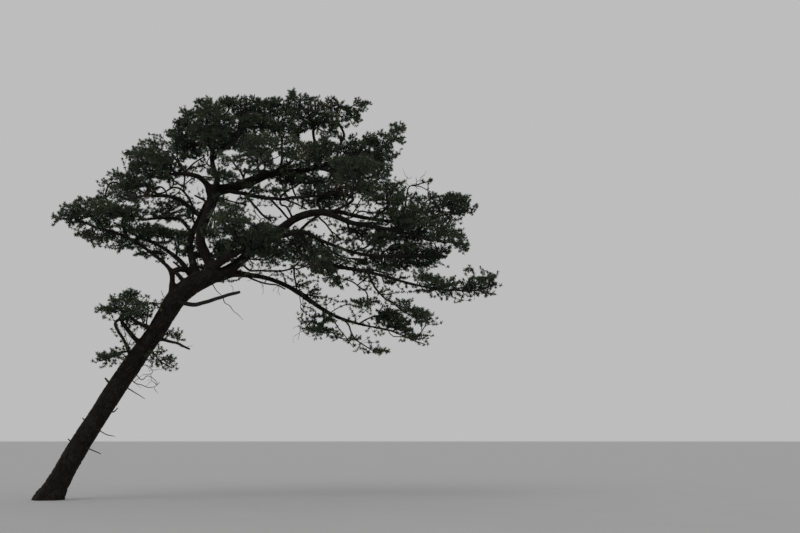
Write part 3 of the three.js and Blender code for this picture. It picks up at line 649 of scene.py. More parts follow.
def dice(seed):
    return np.random.default_rng(seed)


def unit(v):
    v = np.asarray(v, float)
    return v / np.maximum(np.linalg.norm(v, axis=-1, keepdims=True), 1e-12)


def hashed(a, b, c=0.0):
    """A repeatable number from 0 to 1 for each pair of whole numbers."""
    x = np.sin(a * 127.1 + b * 311.7 + c * 74.7) * 43758.5453
    return x - np.floor(x)


def step(low, high, x):
    t = np.clip((x - low) / (high - low), 0, 1)
    return t * t * (3 - 2 * t)


def waves(points, pitch, seed, count=7):
    """Smooth unevenness of about -1 to 1, for an array of points."""
    r = dice(seed)
    total = np.zeros(len(points))
    for _ in range(count):
        way = unit(r.normal(size=3)) * pitch * r.uniform(0.6, 1.7)
        total += np.sin(points @ way + r.uniform(0, TAU))
    return total / (0.62 * count)


def bent(points, spacing):
    """Evenly spaced points on a centripetal Catmull-Rom curve through the way points."""
    p = np.asarray(points, float)
    p = np.vstack([2 * p[0] - p[1], p, 2 * p[-1] - p[-2]])
    fine = []
    for i in range(1, len(p) - 2):
        d0, d1, d2 = (
            max(np.linalg.norm(p[i + k] - p[i + k - 1]), 1e-9) ** 0.5 for k in range(3)
        )
        t1 = (
            (p[i] - p[i - 1]) / d0
            - (p[i + 1] - p[i - 1]) / (d0 + d1)
            + (p[i + 1] - p[i]) / d1
        ) * d1
        t2 = (
            (p[i + 1] - p[i]) / d1
            - (p[i + 2] - p[i]) / (d1 + d2)
            + (p[i + 2] - p[i + 1]) / d2
        ) * d1
        t = np.linspace(0, 1, 40, endpoint=i == len(p) - 3)[:, None]
        fine.append(
            p[i]
            + t1 * t
            + (-3 * p[i] + 3 * p[i + 1] - 2 * t1 - t2) * t**2
            + (2 * p[i] - 2 * p[i + 1] + t1 + t2) * t**3
        )
    fine = np.vstack(fine)
    run = np.concatenate(
        [[0], np.cumsum(np.linalg.norm(np.diff(fine, axis=0), axis=1))]
    )
    count = max(2, int(round(run[-1] / spacing)) + 1)
    want = np.linspace(0, run[-1], count)
    return np.stack([np.interp(want, run, fine[:, k]) for k in range(3)], 1), want


def frames(line):
    """Tangent and two directions across at each point of a line, without twist."""
    along = unit(np.gradient(line, axis=0))
    first = np.array([0, 1.0, 0]) if abs(along[0][1]) < 0.9 else np.array([1.0, 0, 0])
    across = np.zeros_like(line)
    for i, t in enumerate(along):
        first = first - t * (first @ t)
        first = first / max(np.linalg.norm(first), 1e-9)
        across[i] = first
    return along, across, np.cross(across, along)


def mesh_object(name, verts, tris, material, body="root", smooth=False, marks=None):
    """A joined mesh from arrays, riding on the tree's body."""
    mesh = bpy.data.meshes.new(name)
    verts = np.ascontiguousarray(verts, np.float32)
    tris = np.ascontiguousarray(tris, np.int32)
    mesh.vertices.add(len(verts))
    mesh.vertices.foreach_set("co", verts.ravel())
    mesh.loops.add(tris.size)
    mesh.loops.foreach_set("vertex_index", tris.ravel())
    mesh.polygons.add(len(tris))
    mesh.polygons.foreach_set(
        "loop_start", np.arange(0, tris.size, 3, dtype=np.int32)
    )
    mesh.update(calc_edges=True)
    if smooth:
        mesh.polygons.foreach_set("use_smooth", np.ones(len(tris), bool))
    for key, values in (marks or {}).items():
        mesh.attributes.new(key, "FLOAT", "POINT").data.foreach_set(
            "value", np.ascontiguousarray(values, np.float32)
        )
    mesh.materials.append(material)
    ob = bpy.data.objects.new(name, mesh)
    bpy.context.scene.collection.objects.link(ob)
    if body:
        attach(ob, body)
    return ob


class Heap:
    """Meshes of one kind, gathered and then joined."""

    def __init__(self):
        self.verts, self.tris, self.marks, self.count = [], [], [], 0

    def add(self, verts, tris, marks=None):
        self.verts.append(verts)
        self.tris.append(np.asarray(tris) + self.count)
        self.marks.append(np.zeros(len(verts)) if marks is None else marks)
        self.count += len(verts)

    def joined(self):
        return np.vstack(self.verts), np.vstack(self.tris), np.concatenate(self.marks)


def ring_faces(rings, sides, first=0):
    """Triangles between rings of vertices, each of that many sides."""
    i, j = np.meshgrid(np.arange(rings - 1), np.arange(sides), indexing="ij")
    a = first + i * sides + j
    b = first + i * sides + (j + 1) % sides
    c, d = a + sides, b + sides
    return np.concatenate(
        [np.stack([a, b, d], -1).reshape(-1, 3), np.stack([a, d, c], -1).reshape(-1, 3)]
    )


# --------------------------------------------------------------- materials --


def material(name):
    m = bpy.data.materials.new(name)
    m.use_nodes = True
    tree = m.node_tree
    tree.nodes.clear()
    out = tree.nodes.new("ShaderNodeOutputMaterial")
    skin = tree.nodes.new("ShaderNodeBsdfPrincipled")
    tree.links.new(skin.outputs["BSDF"], out.inputs["Surface"])
    return m, tree, skin


def node(tree, kind, **settings):
    made = tree.nodes.new("ShaderNode" + kind)
    for key, value in settings.items():
        if key in made.inputs:
            made.inputs[key].default_value = value
        else:
            setattr(made, key, value)
    return made


def ramp(tree, source, stops):
    made = tree.nodes.new("ShaderNodeValToRGB")
    bar = made.color_ramp
    while len(bar.elements) < len(stops):
        bar.elements.new(0.5)
    for element, (at, colour) in zip(bar.elements, stops):
        element.position = at
        element.color = (*colour, 1)
    tree.links.new(source, made.inputs["Fac"])
    return made.outputs["Color"]


def mixed(tree, kind, amount, a, b):
    made = tree.nodes.new("ShaderNodeMix")
    made.data_type = "RGBA"
    made.blend_type = kind
    slots = {s.identifier: s for s in made.inputs}
    for slot, value in (
        (slots["Factor_Float"], amount),
        (slots["A_Color"], a),
        (slots["B_Color"], b),
    ):
        if isinstance(value, bpy.types.NodeSocket):
            tree.links.new(value, slot)
        elif slot.type == "RGBA":
            slot.default_value = (*value, 1)
        else:
            slot.default_value = value
    return {s.identifier: s for s in made.outputs}["Result_Color"]


def bark_material(name, crack_and_shade, plate, pale, scale):
    """Fissured bark: dark in the cracks, partly the bark's own dark fissures and partly painted shade in them, scaly
    and mottled on the plates.
    """
    m, tree, skin = material(name)
    place = tree.nodes.new("ShaderNodeTexCoord").outputs["Object"]
    mark = node(tree, "Attribute", attribute_name="relief")
    big = node(tree, "TexNoise", Scale=scale * 0.35, Detail=4, Roughness=0.6)
    fine = node(tree, "TexNoise", Scale=scale * 6, Detail=6, Roughness=0.7)
    flakes = node(tree, "TexVoronoi", Scale=scale * 2.2, feature="DISTANCE_TO_EDGE")
    for n in (big, fine, flakes):
        tree.links.new(place, n.inputs["Vector"])
    # the crack colour in the fissures is the bark's own darker fissure colour and painted shade in the recesses
    plates = ramp(tree, mark.outputs["Fac"], [(0.0, crack_and_shade), (0.35, crack_and_shade), (0.75, plate), (1.0, pale)])
    mottled = ramp(tree, big.outputs["Fac"], [(0.3, (0.55, 0.55, 0.55)), (0.5, (1, 1, 1)), (0.72, (1.35, 1.38, 1.3))])
    speckled = ramp(tree, fine.outputs["Fac"], [(0.3, (0.6, 0.6, 0.6)), (0.7, (1.3, 1.3, 1.3))])
    colour = mixed(tree, "MULTIPLY", 1.0, plates, mottled)
    colour = mixed(tree, "MULTIPLY", 0.8, colour, speckled)
    tree.links.new(colour, skin.inputs["Base Color"])
    rough = ramp(tree, fine.outputs["Fac"], [(0.3, (0.82, 0.82, 0.82)), (0.7, (0.98, 0.98, 0.98))])
    tree.links.new(rough, skin.inputs["Roughness"])
    skin.inputs["Specular IOR Level"].default_value = 0.2
    low = node(tree, "Bump", Strength=0.5, Distance=0.006)
    high = node(tree, "Bump", Strength=0.45, Distance=0.003)
    tree.links.new(flakes.outputs["Distance"], low.inputs["Height"])
    tree.links.new(fine.outputs["Fac"], high.inputs["Height"])
    tree.links.new(low.outputs["Normal"], high.inputs["Normal"])
    tree.links.new(high.outputs["Normal"], skin.inputs["Normal"])
    return m


def needle_material(name, colour):
    """Waxy needles of one plain colour, a little uneven from spray to spray."""
    m, tree, skin = material(name)
    place = tree.nodes.new("ShaderNodeTexCoord").outputs["Object"]
    patch = node(tree, "TexNoise", Scale=1.7, Detail=2)
    fleck = node(tree, "TexNoise", Scale=38.0, Detail=2)
    for n in (patch, fleck):
        tree.links.new(place, n.inputs["Vector"])
    dim = tuple(0.78 * c for c in colour)
    lit = tuple(1.22 * c for c in colour)
    tone = ramp(tree, patch.outputs["Fac"], [(0.35, dim), (0.5, colour), (0.65, lit)])
    flecked = ramp(tree, fleck.outputs["Fac"], [(0.35, (0.82, 0.84, 0.80)), (0.65, (1.18, 1.16, 1.15))])
    tree.links.new(mixed(tree, "MULTIPLY", 1.0, tone, flecked), skin.inputs["Base Color"])
    rough = ramp(tree, fleck.outputs["Fac"], [(0.3, (0.5, 0.5, 0.5)), (0.7, (0.72, 0.72, 0.72))])
    tree.links.new(rough, skin.inputs["Roughness"])
    skin.inputs["Specular IOR Level"].default_value = 0.25
    return m


BARK = bark_material("bark", (0.0070, 0.0060, 0.0052), (0.0165, 0.0142, 0.0123), (0.030, 0.0265, 0.0235), 9.0)
BARK_THIN = bark_material("bark_thin", (0.010, 0.0085, 0.0075), (0.021, 0.018, 0.0155), (0.032, 0.028, 0.0245), 22.0)
DEAD_WOOD = bark_material("dead_wood", (0.011, 0.010, 0.009), (0.026, 0.024, 0.022), (0.043, 0.040, 0.037), 16.0)
# The first five tones run from painted shade to painted light, shaded and lit copies of one green: a spray takes a
# lighter one the higher it sits in its mass. needles_old is the brown of old needles.
NEEDLE_TONES = [
    ("needles_shade", (0.0450, 0.0575, 0.0365)),
    ("needles_deep", (0.0555, 0.0715, 0.0440)),
    ("needles_mid", (0.0680, 0.0870, 0.0530)),
    ("needles_crown", (0.0820, 0.1040, 0.0630)),
    ("needles_tip", (0.0970, 0.1200, 0.0710)),
    ("needles_old", (0.0960, 0.0860, 0.0560)),
]

# -------------------------------------------------------------- limb lines --
# Every limb as a line of points with its radius, its run from the foot and the
# line that carries it.
LINES = {}


def add_line(name, line, run, radius, carrier=None, start=0.0, dead=False):
    LINES[name] = {
        "line": line,
        "run": run,
        "radius": radius,
        "carrier": carrier,
        "start": start,
        "dead": dead,
    }


def nearest_on(name, point):
    """Index of the point of a line that is nearest to a point."""
    return int(np.argmin(np.linalg.norm(LINES[name]["line"] - point, axis=1)))


def trunk_diameter(run):
    stations = np.concatenate(
        [
            [0],
            np.cumsum(
                np.linalg.norm(np.diff(np.array(TRUNK_PATH, float), axis=0), axis=1)
            ),
        ]
    )
    return np.interp(run, stations, TRUNK_DIAMETER)


FOOT_RUN = 0.50
slope = np.array(TRUNK_PATH[1]) - np.array(TRUNK_PATH[0])
below = np.array(TRUNK_PATH[0]) - slope * FOOT_RUN / slope[2]
line, run = bent([below, *TRUNK_PATH], 0.02)
run = run - np.linalg.norm(below)
add_line("trunk", line, run, trunk_diameter(np.maximum(run, 0)) / 2)

CARRIERS = {
    "stem_front": "trunk",
    "stem_back": "trunk",
    "right_bough": "trunk",
    "low_left_bough": "trunk",
    "left_fork_bough": "trunk",
    "broken_bough": "trunk",
    "dead_bough": "trunk",
    "small_crown_bough": "trunk",
    "low_right_bough": "right_bough",
    "low_right_tip": "low_right_bough",
    "fork_bough": "stem_front",
    "upper_right_bough": "stem_front",
    "top_bough": "stem_front",
    "upper_left_bough": "stem_front",
    "mid_left_bough": "stem_back",
    "arch_lower": "arch_bough",
}


def add_limb(name, thick, path, carrier, spacing=0.04, dead=False):
    line, run = bent(path, spacing)
    radius = np.interp(run / run[-1], np.linspace(0, 1, len(thick)), thick) / 2
    # a collar where the limb leaves what carries it
    radius = radius * (1 + 0.22 * np.exp(-run / (1.3 * radius[0])))
    start = 0.0
    if carrier in LINES:
        base = LINES[carrier]
        start = base["start"] + base["run"][nearest_on(carrier, line[0])]
    add_line(name, line, run, radius, carrier, start, dead)


def sunk(path, carrier):
    """The path with its first point moved onto the middle of what carries it."""
    path = [np.asarray(p, float) for p in path]
    at = LINES[carrier]["line"][nearest_on(carrier, path[0])]
    return [at, *path] if np.linalg.norm(at - path[0]) > 0.03 else path


for name in ("stem_front", "stem_back", "right_bough", "low_left_bough", "left_fork_bough",
             "small_crown_bough", "low_right_bough", "low_right_tip",
             "fork_bough", "upper_right_bough", "top_bough", "upper_left_bough", "mid_left_bough"):
    thick, path = LIMBS[name]
    add_limb(name, thick, sunk(path, CARRIERS[name]), CARRIERS[name])
for name, (thick, path) in DEAD_LIMBS.items():
    add_limb(name, thick, sunk(path, CARRIERS[name]), CARRIERS[name], dead=True)


def picture_limb(name, carrier, thick, points, dead=False):
    """A limb from picture points. It starts on the line that carries it."""
    base = LINES[carrier]
    u, v, _ = pictured(base["line"])
    near = int(np.argmin((u - points[0][0]) ** 2 + (v - points[0][1]) ** 2))
    root = base["line"][near]
    path = [root]
    for k, (pu, pv, dy) in enumerate(points):
        at = placed(pu, pv, root[1] + dy)
        if k == 0 and np.linalg.norm(at - root) < 0.08:
            continue
        path.append(at)
    add_limb(name, (thick[0] / 1000, thick[1] / 1000), path, carrier, 0.03, dead)


def picture_limbs(table, dead=False):
    for name, (carrier, first, last, points) in table.items():
        picture_limb(name, carrier, (first, last), points, dead)


# the arch springs from the end of the right bough, and the rest follows it
picture_limbs({"arch_root": THIN_LIMBS["arch_root"]})
LINES["arch_root"]["line"][:, 1] += np.linspace(
    0, LIMBS["arch_bough"][1][0][1] - LINES["arch_root"]["line"][-1][1], len(LINES["arch_root"]["line"])
)
CARRIERS["arch_bough"] = "arch_root"
for name in ("arch_bough", "arch_lower"):
    thick, path = LIMBS[name]
    add_limb(name, thick, sunk(path, CARRIERS[name]), CARRIERS[name])
first_part = ("mid_reach", "mid_right_root")
picture_limbs({k: THIN_LIMBS[k] for k in first_part})
CARRIERS["mid_right_bough"] = "mid_right_root"
thick, path = LIMBS["mid_right_bough"]
add_limb("mid_right_bough", thick, sunk(path, "mid_right_root"), "mid_right_root")
picture_limbs({k: v for k, v in THIN_LIMBS.items() if k not in (*first_part, "arch_root")})
picture_limbs(SMALL_THIN)
picture_limbs(DEAD_THIN, dead=True)

# ------------------------------------------------------------------ masses --


def uneven(d, seed, pitch):
    """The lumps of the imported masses: the same sum of waves as they were made with."""
    total = np.zeros(len(d))
    for k in range(5):
        a = seed * 12.9898 + k * 78.233
        wave = unit(
            np.array([math.sin(a), math.sin(a * 1.7 + 1.3), math.sin(a * 2.3 + 4.1)])
        )
        total += np.sin(d @ wave * pitch * (1 + 0.35 * k) + a * 3.1)
    return total / 2.6


def tilted(points, tilt):
    c, s = math.cos(math.radians(tilt)), math.sin(math.radians(tilt))
    x, y, z = points[..., 0], points[..., 1], points[..., 2]
    return np.stack([c * x + s * z, y, -s * x + c * z], -1)


PAD = np.array([0.28, 0.28, 0.150])  # half sizes of one pad of shoots
PAD_AREA = math.pi * PAD[0] * PAD[2]
SHOOTS_PER_PAD = 27
SHOOT_GAP = 0.060


def in_sky(points, grow=0.0):
    """True for points that the picture shows in front of open sky."""
    u, v, _ = pictured(points)
    found = np.zeros(len(points), bool)
    for su, sv, ru, rv in SKY:
        found |= ((u - su) / (ru + grow)) ** 2 + ((v - sv) / (rv + grow)) ** 2 < 1
    return found


def pad_centres(size, fill, seed, rate=1.25):
    """Middles of the pads inside a body of these half sizes, spread apart."""
    r = dice(seed)
    size = np.asarray(size, float)
    half = np.minimum(PAD, size * 0.62)
    room = np.maximum(size - half * 0.70, size * 0.12)
    area = math.pi * size[0] * size[2]
    count = int(round(rate * area * -math.log(1 - min(fill, 0.90)) / (math.pi * half[0] * half[2])))
    count = max(2, count)
    found = []
    for _ in range(count):
        trial = unit(r.normal(size=(16, 3))) * (r.uniform(0, 1, (16, 1)) ** 0.36)
        trial[:, 2] = np.where(r.uniform(size=16) < 0.30, np.abs(trial[:, 2]), trial[:, 2])
        if found:
            spread = room / half * np.array([1.0, 0.45, 1.0])
            gap = np.min(np.linalg.norm((trial[:, None] - np.array(found)[None]) * spread, axis=2), axis=1)
            found.append(trial[int(np.argmax(gap))])
        else:
            found.append(trial[0])
    return np.array(found) * room, half


def pad_shoots(half, count, r):
    """Where the shoots of one pad end, mostly over its upper side."""
    d = unit(r.normal(size=(count * 4, 3)))
    d[:, 2] = np.where(r.uniform(size=len(d)) < 0.72, np.abs(d[:, 2]), d[:, 2])
    p = d * (r.uniform(0.25, 1, (len(d), 1)) ** 0.45) * half
    kept = []
    for q in p:
        if all(np.linalg.norm((q - k) * (1.0, 0.7, 1.0)) > SHOOT_GAP for k in kept):
            kept.append(q)
            if len(kept) == count:
                break
    return np.array(kept)


PADS = []  # each: middle, half sizes, tilt, height in its mass (which sets its tone of painted light and shade), mass
for index, (name, (at, size, tilt, fill)) in enumerate(MASSES.items()):
    centres, half = pad_centres(size, fill, 700 + index)
    way = unit(centres)
    swell = 1 + MASS_ROUGH * uneven(way, 101 + index, MASS_LUMPS)
    flat = np.where(centres[:, 2:3] < 0, np.array([[1, 1, UNDERSIDE]]), 1.0)
    middles = tilted(centres * flat * swell[:, None], tilt) + np.array(at)
    for centre, middle in zip(centres, middles):
        PADS.append((middle, half, tilt, centre[2] / size[2], name))
for index, (u, v, y, ru, rv, fill) in enumerate(LOOSE):
    middle = placed(u, v, y)
    scale = pictured(middle)[2]
    size = np.array([ru * scale, max(0.25, 0.8 * ru * scale), rv * scale])
    centres, half = pad_centres(size, fill, 900 + index)
    for centre in centres:
        PADS.append((middle + centre, half, 0, centre[2] / size[2], "loose"))

shoot_at, shoot_pad = [], []
r = dice(41)
for k, (middle, half, tilt, high, name) in enumerate(PADS):
    share = float(np.prod(half[[0, 2]]) / np.prod(PAD[[0, 2]]))
    own = pad_shoots(half * r.uniform(0.85, 1.12), max(4, int(round(SHOOTS_PER_PAD * share**0.8))), r)
    own = tilted(own, tilt * 0.6) + middle
    shoot_at.append(own)
    shoot_pad.append(np.full(len(own), k))
taken = np.stack(pictured(np.vstack(shoot_at))[:2], 1)
for index, (u, v, y, ru, rv, count) in enumerate(STREWN):
    r = dice(1200 + index)
    PADS.append((placed(u, v, y), PAD, 0, 0.0, "strewn"))
    around = taken[(abs(taken[:, 0] - u) < ru + 5) & (abs(taken[:, 1] - v) < rv + 5)]
    for _ in range(count * 14):
        d = unit(r.normal(size=2)) * math.sqrt(r.uniform())
        spot = np.array([u + ru * d[0], v + rv * d[1]])
        if not len(around) or np.min(np.sum((around - spot) ** 2, 1)) > STREWN_GAP**2:
            shoot_at.append(placed(*spot, y + r.uniform(-0.45, 0.45))[None])
            shoot_pad.append(np.array([len(PADS) - 1]))
            around = np.vstack([around, spot])
            taken = np.vstack([taken, spot])
            count -= 1
            if not count:
                break
shoot_at = np.vstack(shoot_at)
shoot_pad = np.concatenate(shoot_pad)
keep = ~in_sky(shoot_at) & (shoot_at[:, 2] > 0.4)
# nothing grows inside a limb
tree_points = np.vstack([l["line"][::2] for l in LINES.values()])
tree_radii = np.concatenate([l["radius"][::2] for l in LINES.values()])
wood = kdtree.KDTree(len(tree_points))
for i, p in enumerate(tree_points):
    wood.insert(p, i)
wood.balance()
for i, p in enumerate(shoot_at):
    if keep[i]:
        _, near, gap = wood.find(p)
        if gap < tree_radii[near] + 0.05:
            keep[i] = False
shoot_at, shoot_pad = shoot_at[keep], shoot_pad[keep]

# ------------------------------------------------------- the branching rule --
# Limb points carry guides to the middle of each mass. Every shoot end then
# joins the tree where a short, straight-running way back to the foot is
# cheapest, so boughs fork into twigs as they do on the tree.
POINTS, PARENT, PATH, HEADING, KIND, OWNER = [], [], [], [], [], []
THICKEST = {}  # the greatest radius of what grows from a point of a limb
LIMB, GUIDE, SHOOT = 0, 1, 2


def add_node(point, parent, path, heading, kind, owner=""):
    POINTS.append(np.asarray(point, float))
    PARENT.append(parent)
    PATH.append(path)
    HEADING.append(heading)
    KIND.append(kind)
    OWNER.append(owner)
    return len(POINTS) - 1


BARE = {"trunk": 1.01, "stem_front": 0.25, "stem_back": 0.3, "right_bough": 0.45, "fork_bough": 0.55, "broken_bough": 2, "dead_bough": 2,
        "arch_bough": 0.2, "low_left_bough": 0.55, "left_fork_bough": 0.45, "low_right_bough": 0.25, "small_loop": 0.6}
for name, l in LINES.items():
    if l["dead"]:
        continue
    along = unit(np.gradient(l["line"], axis=0))
    every = max(1, int(round(0.10 / max(1e-6, l["run"][1] - l["run"][0]))))
    for i in list(range(0, len(l["line"]), every)) + [len(l["line"]) - 1]:
        if l["run"][i] / l["run"][-1] >= BARE.get(name, 0.08):
            made = add_node(l["line"][i], -1, l["start"] + l["run"][i], along[i], LIMB, name)
            THICKEST[made] = max(0.85 * l["radius"][i], 0.008)

hubs, hub_mass = [], []
for name, (at, size, tilt, fill) in MASSES.items():
    spots = [(0.0, 0.0)]
    if size[1] > 0.85:
        spots += [(0.0, 0.52), (0.0, -0.52)]
    if size[0] > 1.0:
        spots += [(0.5, 0.1), (-0.5, -0.1)]
    for sx, sy in spots:
        offset = np.array([sx * size[0], sy * size[1], -0.38 * size[2]])
        hubs.append(tilted(offset, tilt) + np.array(at))
        hub_mass.append(name)
hubs = np.array(hubs)
left = set(range(len(hubs)))
guide_dice = dice(77)
while left:
    own, owners = np.array(POINTS), np.array(OWNER)
    best = None
    for h in left:
        away = hubs[h] - own
        gap = np.linalg.norm(away, axis=1)
        turn = 1 - np.sum(unit(away) * np.array(HEADING), axis=1)
        cost = gap * (1 + 0.30 * turn) + 0.16 * np.array(PATH)
        holders = (*HELD_BY[hub_mass[h]], hub_mass[h])
        cost = np.where(np.isin(owners, holders), cost, 1e9)
        i = int(np.argmin(cost))
        if best is None or cost[i] < best[0]:
            best = (cost[i], i, h, gap[i])
    _, i, h, gap = best
    left.discard(h)
    if gap < 0.16:
        continue
    start, end = own[i], hubs[h]
    way = (end - start) / gap
    go = unit(0.45 * HEADING[i] + 0.75 * way)
    arrive = unit(way * np.array([1, 1, 0.45]) + np.array([0, 0, 0.10]))
    count = max(2, int(round(gap / 0.11)))
    t = np.linspace(0, 1, count + 1)[1:, None]
    reach = gap * 0.38
    curve = (
        start * (1 - t) ** 3
        + 3 * (start + go * reach) * t * (1 - t) ** 2
        + 3 * (end - arrive * reach) * t**2 * (1 - t)
        + end * t**3
    )
    wobble = guide_dice.normal(size=(3, 3)) * min(0.05, 0.03 * gap)
    for k in range(3):
        curve = curve + wobble[k] * np.sin(t * (k + 1) * math.pi)
    before, path = i, PATH[i]
    for p in curve:
        stretch = np.linalg.norm(p - POINTS[before])
        path += stretch
        before = add_node(p, before, path, unit(p - POINTS[before]), GUIDE, hub_mass[h])

first_shoot = len(POINTS)
for p, k in zip(shoot_at, shoot_pad):
    add_node(p, -1, 1e9, np.zeros(3), SHOOT, PADS[k][4])
POINTS = np.array(POINTS)
finder = kdtree.KDTree(len(POINTS))
for i, p in enumerate(POINTS):
    finder.insert(p, i)
finder.balance()
NEIGHBOURS = [
    [(j, gap) for _, j, gap in finder.find_n(p, 28) if j >= first_shoot and 1e-6 < gap < 0.75]
    for p in POINTS
]
linked = np.array([k != SHOOT for k in KIND])
queue = []


def crossing(i, j):
    """What it adds to a way that it enters a mass from outside its own limbs."""
    mass = OWNER[j]
    return 0.35 if mass in HELD_BY and OWNER[i] not in (mass, *HELD_BY[mass]) else 0.0


def offer(i):
    head = HEADING[i]
    for j, gap in NEIGHBOURS[i]:
        if not linked[j]:
            way = (POINTS[j] - POINTS[i]) / gap
            turn = 1 - float(way @ head)
            heapq.heappush(queue, (gap * (1 + 0.42 * turn) + 0.22 * PATH[i] + crossing(i, j), i, j, gap))


def link(i, j, gap):
    linked[j] = True
    PARENT[j] = i
    PATH[j] = PATH[i] + gap
    HEADING[j] = (POINTS[j] - POINTS[i]) / max(gap, 1e-9)
    order.append(j)
    offer(j)


order = []
for i in range(first_shoot):
    offer(i)
while True:
    while queue:
        _, i, j, gap = heapq.heappop(queue)
        if not linked[j]:
            link(i, j, gap)
    rest = np.flatnonzero(~linked)
    if not len(rest):
        break
    # a lone shoot takes the longer way to the nearest linked point
    have = np.flatnonzero(linked)
    j = int(rest[0])
    gaps = np.linalg.norm(POINTS[have] - POINTS[j], axis=1)
    k = int(np.argmin(gaps))
    link(int(have[k]), j, float(gaps[k]))

# how many shoots each point feeds
FED = np.zeros(len(POINTS))
FED[first_shoot:] = 1
for j in reversed(order):
    if PARENT[j] >= 0:
        FED[PARENT[j]] += FED[j]
for j in range(first_shoot - 1, -1, -1):
    if KIND[j] == GUIDE and PARENT[j] >= 0:
        FED[PARENT[j]] += FED[j]
TWIG, FORKING = 0.0042, 0.43
RADIUS = np.maximum(TWIG, TWIG * np.maximum(FED, 1) ** FORKING)
for j in [j for j in range(first_shoot) if PARENT[j] >= 0] + order:
    THICKEST[j] = THICKEST[PARENT[j]]
    RADIUS[j] = min(RADIUS[j] / math.hypot(1, RADIUS[j] / 0.05), THICKEST[j])

children = [[] for _ in POINTS]
for j, p in enumerate(PARENT):
    if p >= 0:
        children[p].append(j)
heir = np.full(len(POINTS), -1)
for i, own in enumerate(children):
    if own:
        heir[i] = max(own, key=lambda j: FED[j])
# a running mean along each limb takes the corners out of it
for _ in range(2):
    moved = POINTS.copy()
    for j in range(len(POINTS)):
        if KIND[j] != LIMB and PARENT[j] >= 0 and heir[j] >= 0:
            moved[j] = 0.5 * POINTS[j] + 0.25 * (POINTS[PARENT[j]] + POINTS[heir[j]])
    POINTS = moved

# ------------------------------------------------------------------ shoots --
# Thick limbs are bare: needles stay on shoots and on the youngest wood. A shoot
# at the end of a twig turns up and outwards, one along a twig follows it.
shoots = np.arange(first_shoot, len(POINTS))
bearing = shoots[(FED[shoots] <= 14)]
at = POINTS[bearing]
pads = shoot_pad[bearing - first_shoot]
r = dice(11)
middles = np.array([PADS[k][0] for k in pads])
outward = unit(at - middles)
ahead = unit(at - POINTS[np.array([PARENT[j] for j in bearing])])
axis = unit(
    0.55 * ahead
    + 0.38 * outward
    + np.array([0, 0, 0.62])
    + r.normal(size=at.shape) * 0.28
)
length = r.uniform(0.045, 0.090, len(at))
onward = np.array([POINTS[heir[j]] - POINTS[j] if heir[j] >= 0 else np.zeros(3) for j in bearing])
passing = np.linalg.norm(onward, axis=1) > 0.02
axis[passing] = unit(onward[passing] + r.normal(size=(int(passing.sum()), 3)) * 0.012)
length[passing] = np.minimum(length[passing] * 1.2, np.linalg.norm(onward[passing], axis=1))
TIP = {int(j): at[k] + axis[k] * length[k] for k, j in enumerate(bearing) if not passing[k]}

# ------------------------------------------------------------------- twigs --
twigs = Heap()


def tube(heap, line, radii, sides, turn=0.0, mark=0.6, tip=True):
    """A tapering tube of few sides along a line, with a pointed end. The end
    runs on to the tip where one is given."""
    along, across, side = frames(line)
    a = np.arange(sides) / sides * TAU + turn
    ring = (
        line[:, None]
        + radii[:, None, None]
        * (
            np.cos(a)[None, :, None] * across[:, None]
            + np.sin(a)[None, :, None] * side[:, None]
        )
    ).reshape(-1, 3)
    faces = ring_faces(len(line), sides)
    if tip is not False:
        last = (len(line) - 1) * sides
        end = line[-1] + along[-1] * radii[-1] * 1.5 if tip is True else tip
        ring = np.vstack([ring, end])
        k = np.arange(sides)
        faces = np.vstack(
            [faces, np.stack([last + k, last + (k + 1) % sides, np.full(sides, len(ring) - 1)], 1)]
        )
    shade = np.full(len(ring), mark) if np.isscalar(mark) else mark
    heap.add(ring, faces, shade)


def sides_for(radius):
    return 8 if radius > 0.032 else 6 if radius > 0.018 else 4 if radius > 0.0085 else 3


twig_dice = dice(5)
for j in range(len(POINTS)):
    if PARENT[j] < 0 or KIND[j] == LIMB:
        continue
    p = PARENT[j]
    if KIND[p] != LIMB and heir[p] == j:
        continue  # goes on from the point before it
    chain = [p, j]
    while heir[chain[-1]] >= 0:
        chain.append(heir[chain[-1]])
    line = POINTS[chain]
    radii = RADIUS[chain].copy()
    radii[0] = radii[1] * 1.15
    # heavier parts get more sides, and each part starts where the last one ended
    first = 0
    while first < len(chain) - 1:
        sides = sides_for(radii[max(first, 1)])
        last = first + 1
        while last < len(chain) - 1 and sides_for(radii[last]) == sides:
            last += 1
        part, size = line[first : last + 1], radii[first : last + 1]
        if sides >= 6 and len(part) > 2:
            fine, run = bent(part, 0.06)
            base = np.concatenate([[0], np.cumsum(np.linalg.norm(np.diff(part, axis=0), axis=1))])
            size = np.interp(run / run[-1], base / base[-1], size)
            size = size * (1 + 0.07 * np.sin(run * 23 + j) + 0.05 * np.sin(run * 51 + 2 * j))
            part = fine
        shades = np.repeat(twig_dice.uniform(0.45, 0.95, len(part)), sides)
        tip = TIP.get(int(chain[-1]), True) if last == len(chain) - 1 else False
        tube(twigs, part, size, sides, twig_dice.uniform(0, TAU), shades if tip is False else np.append(shades, 0.6), tip)
        first = last

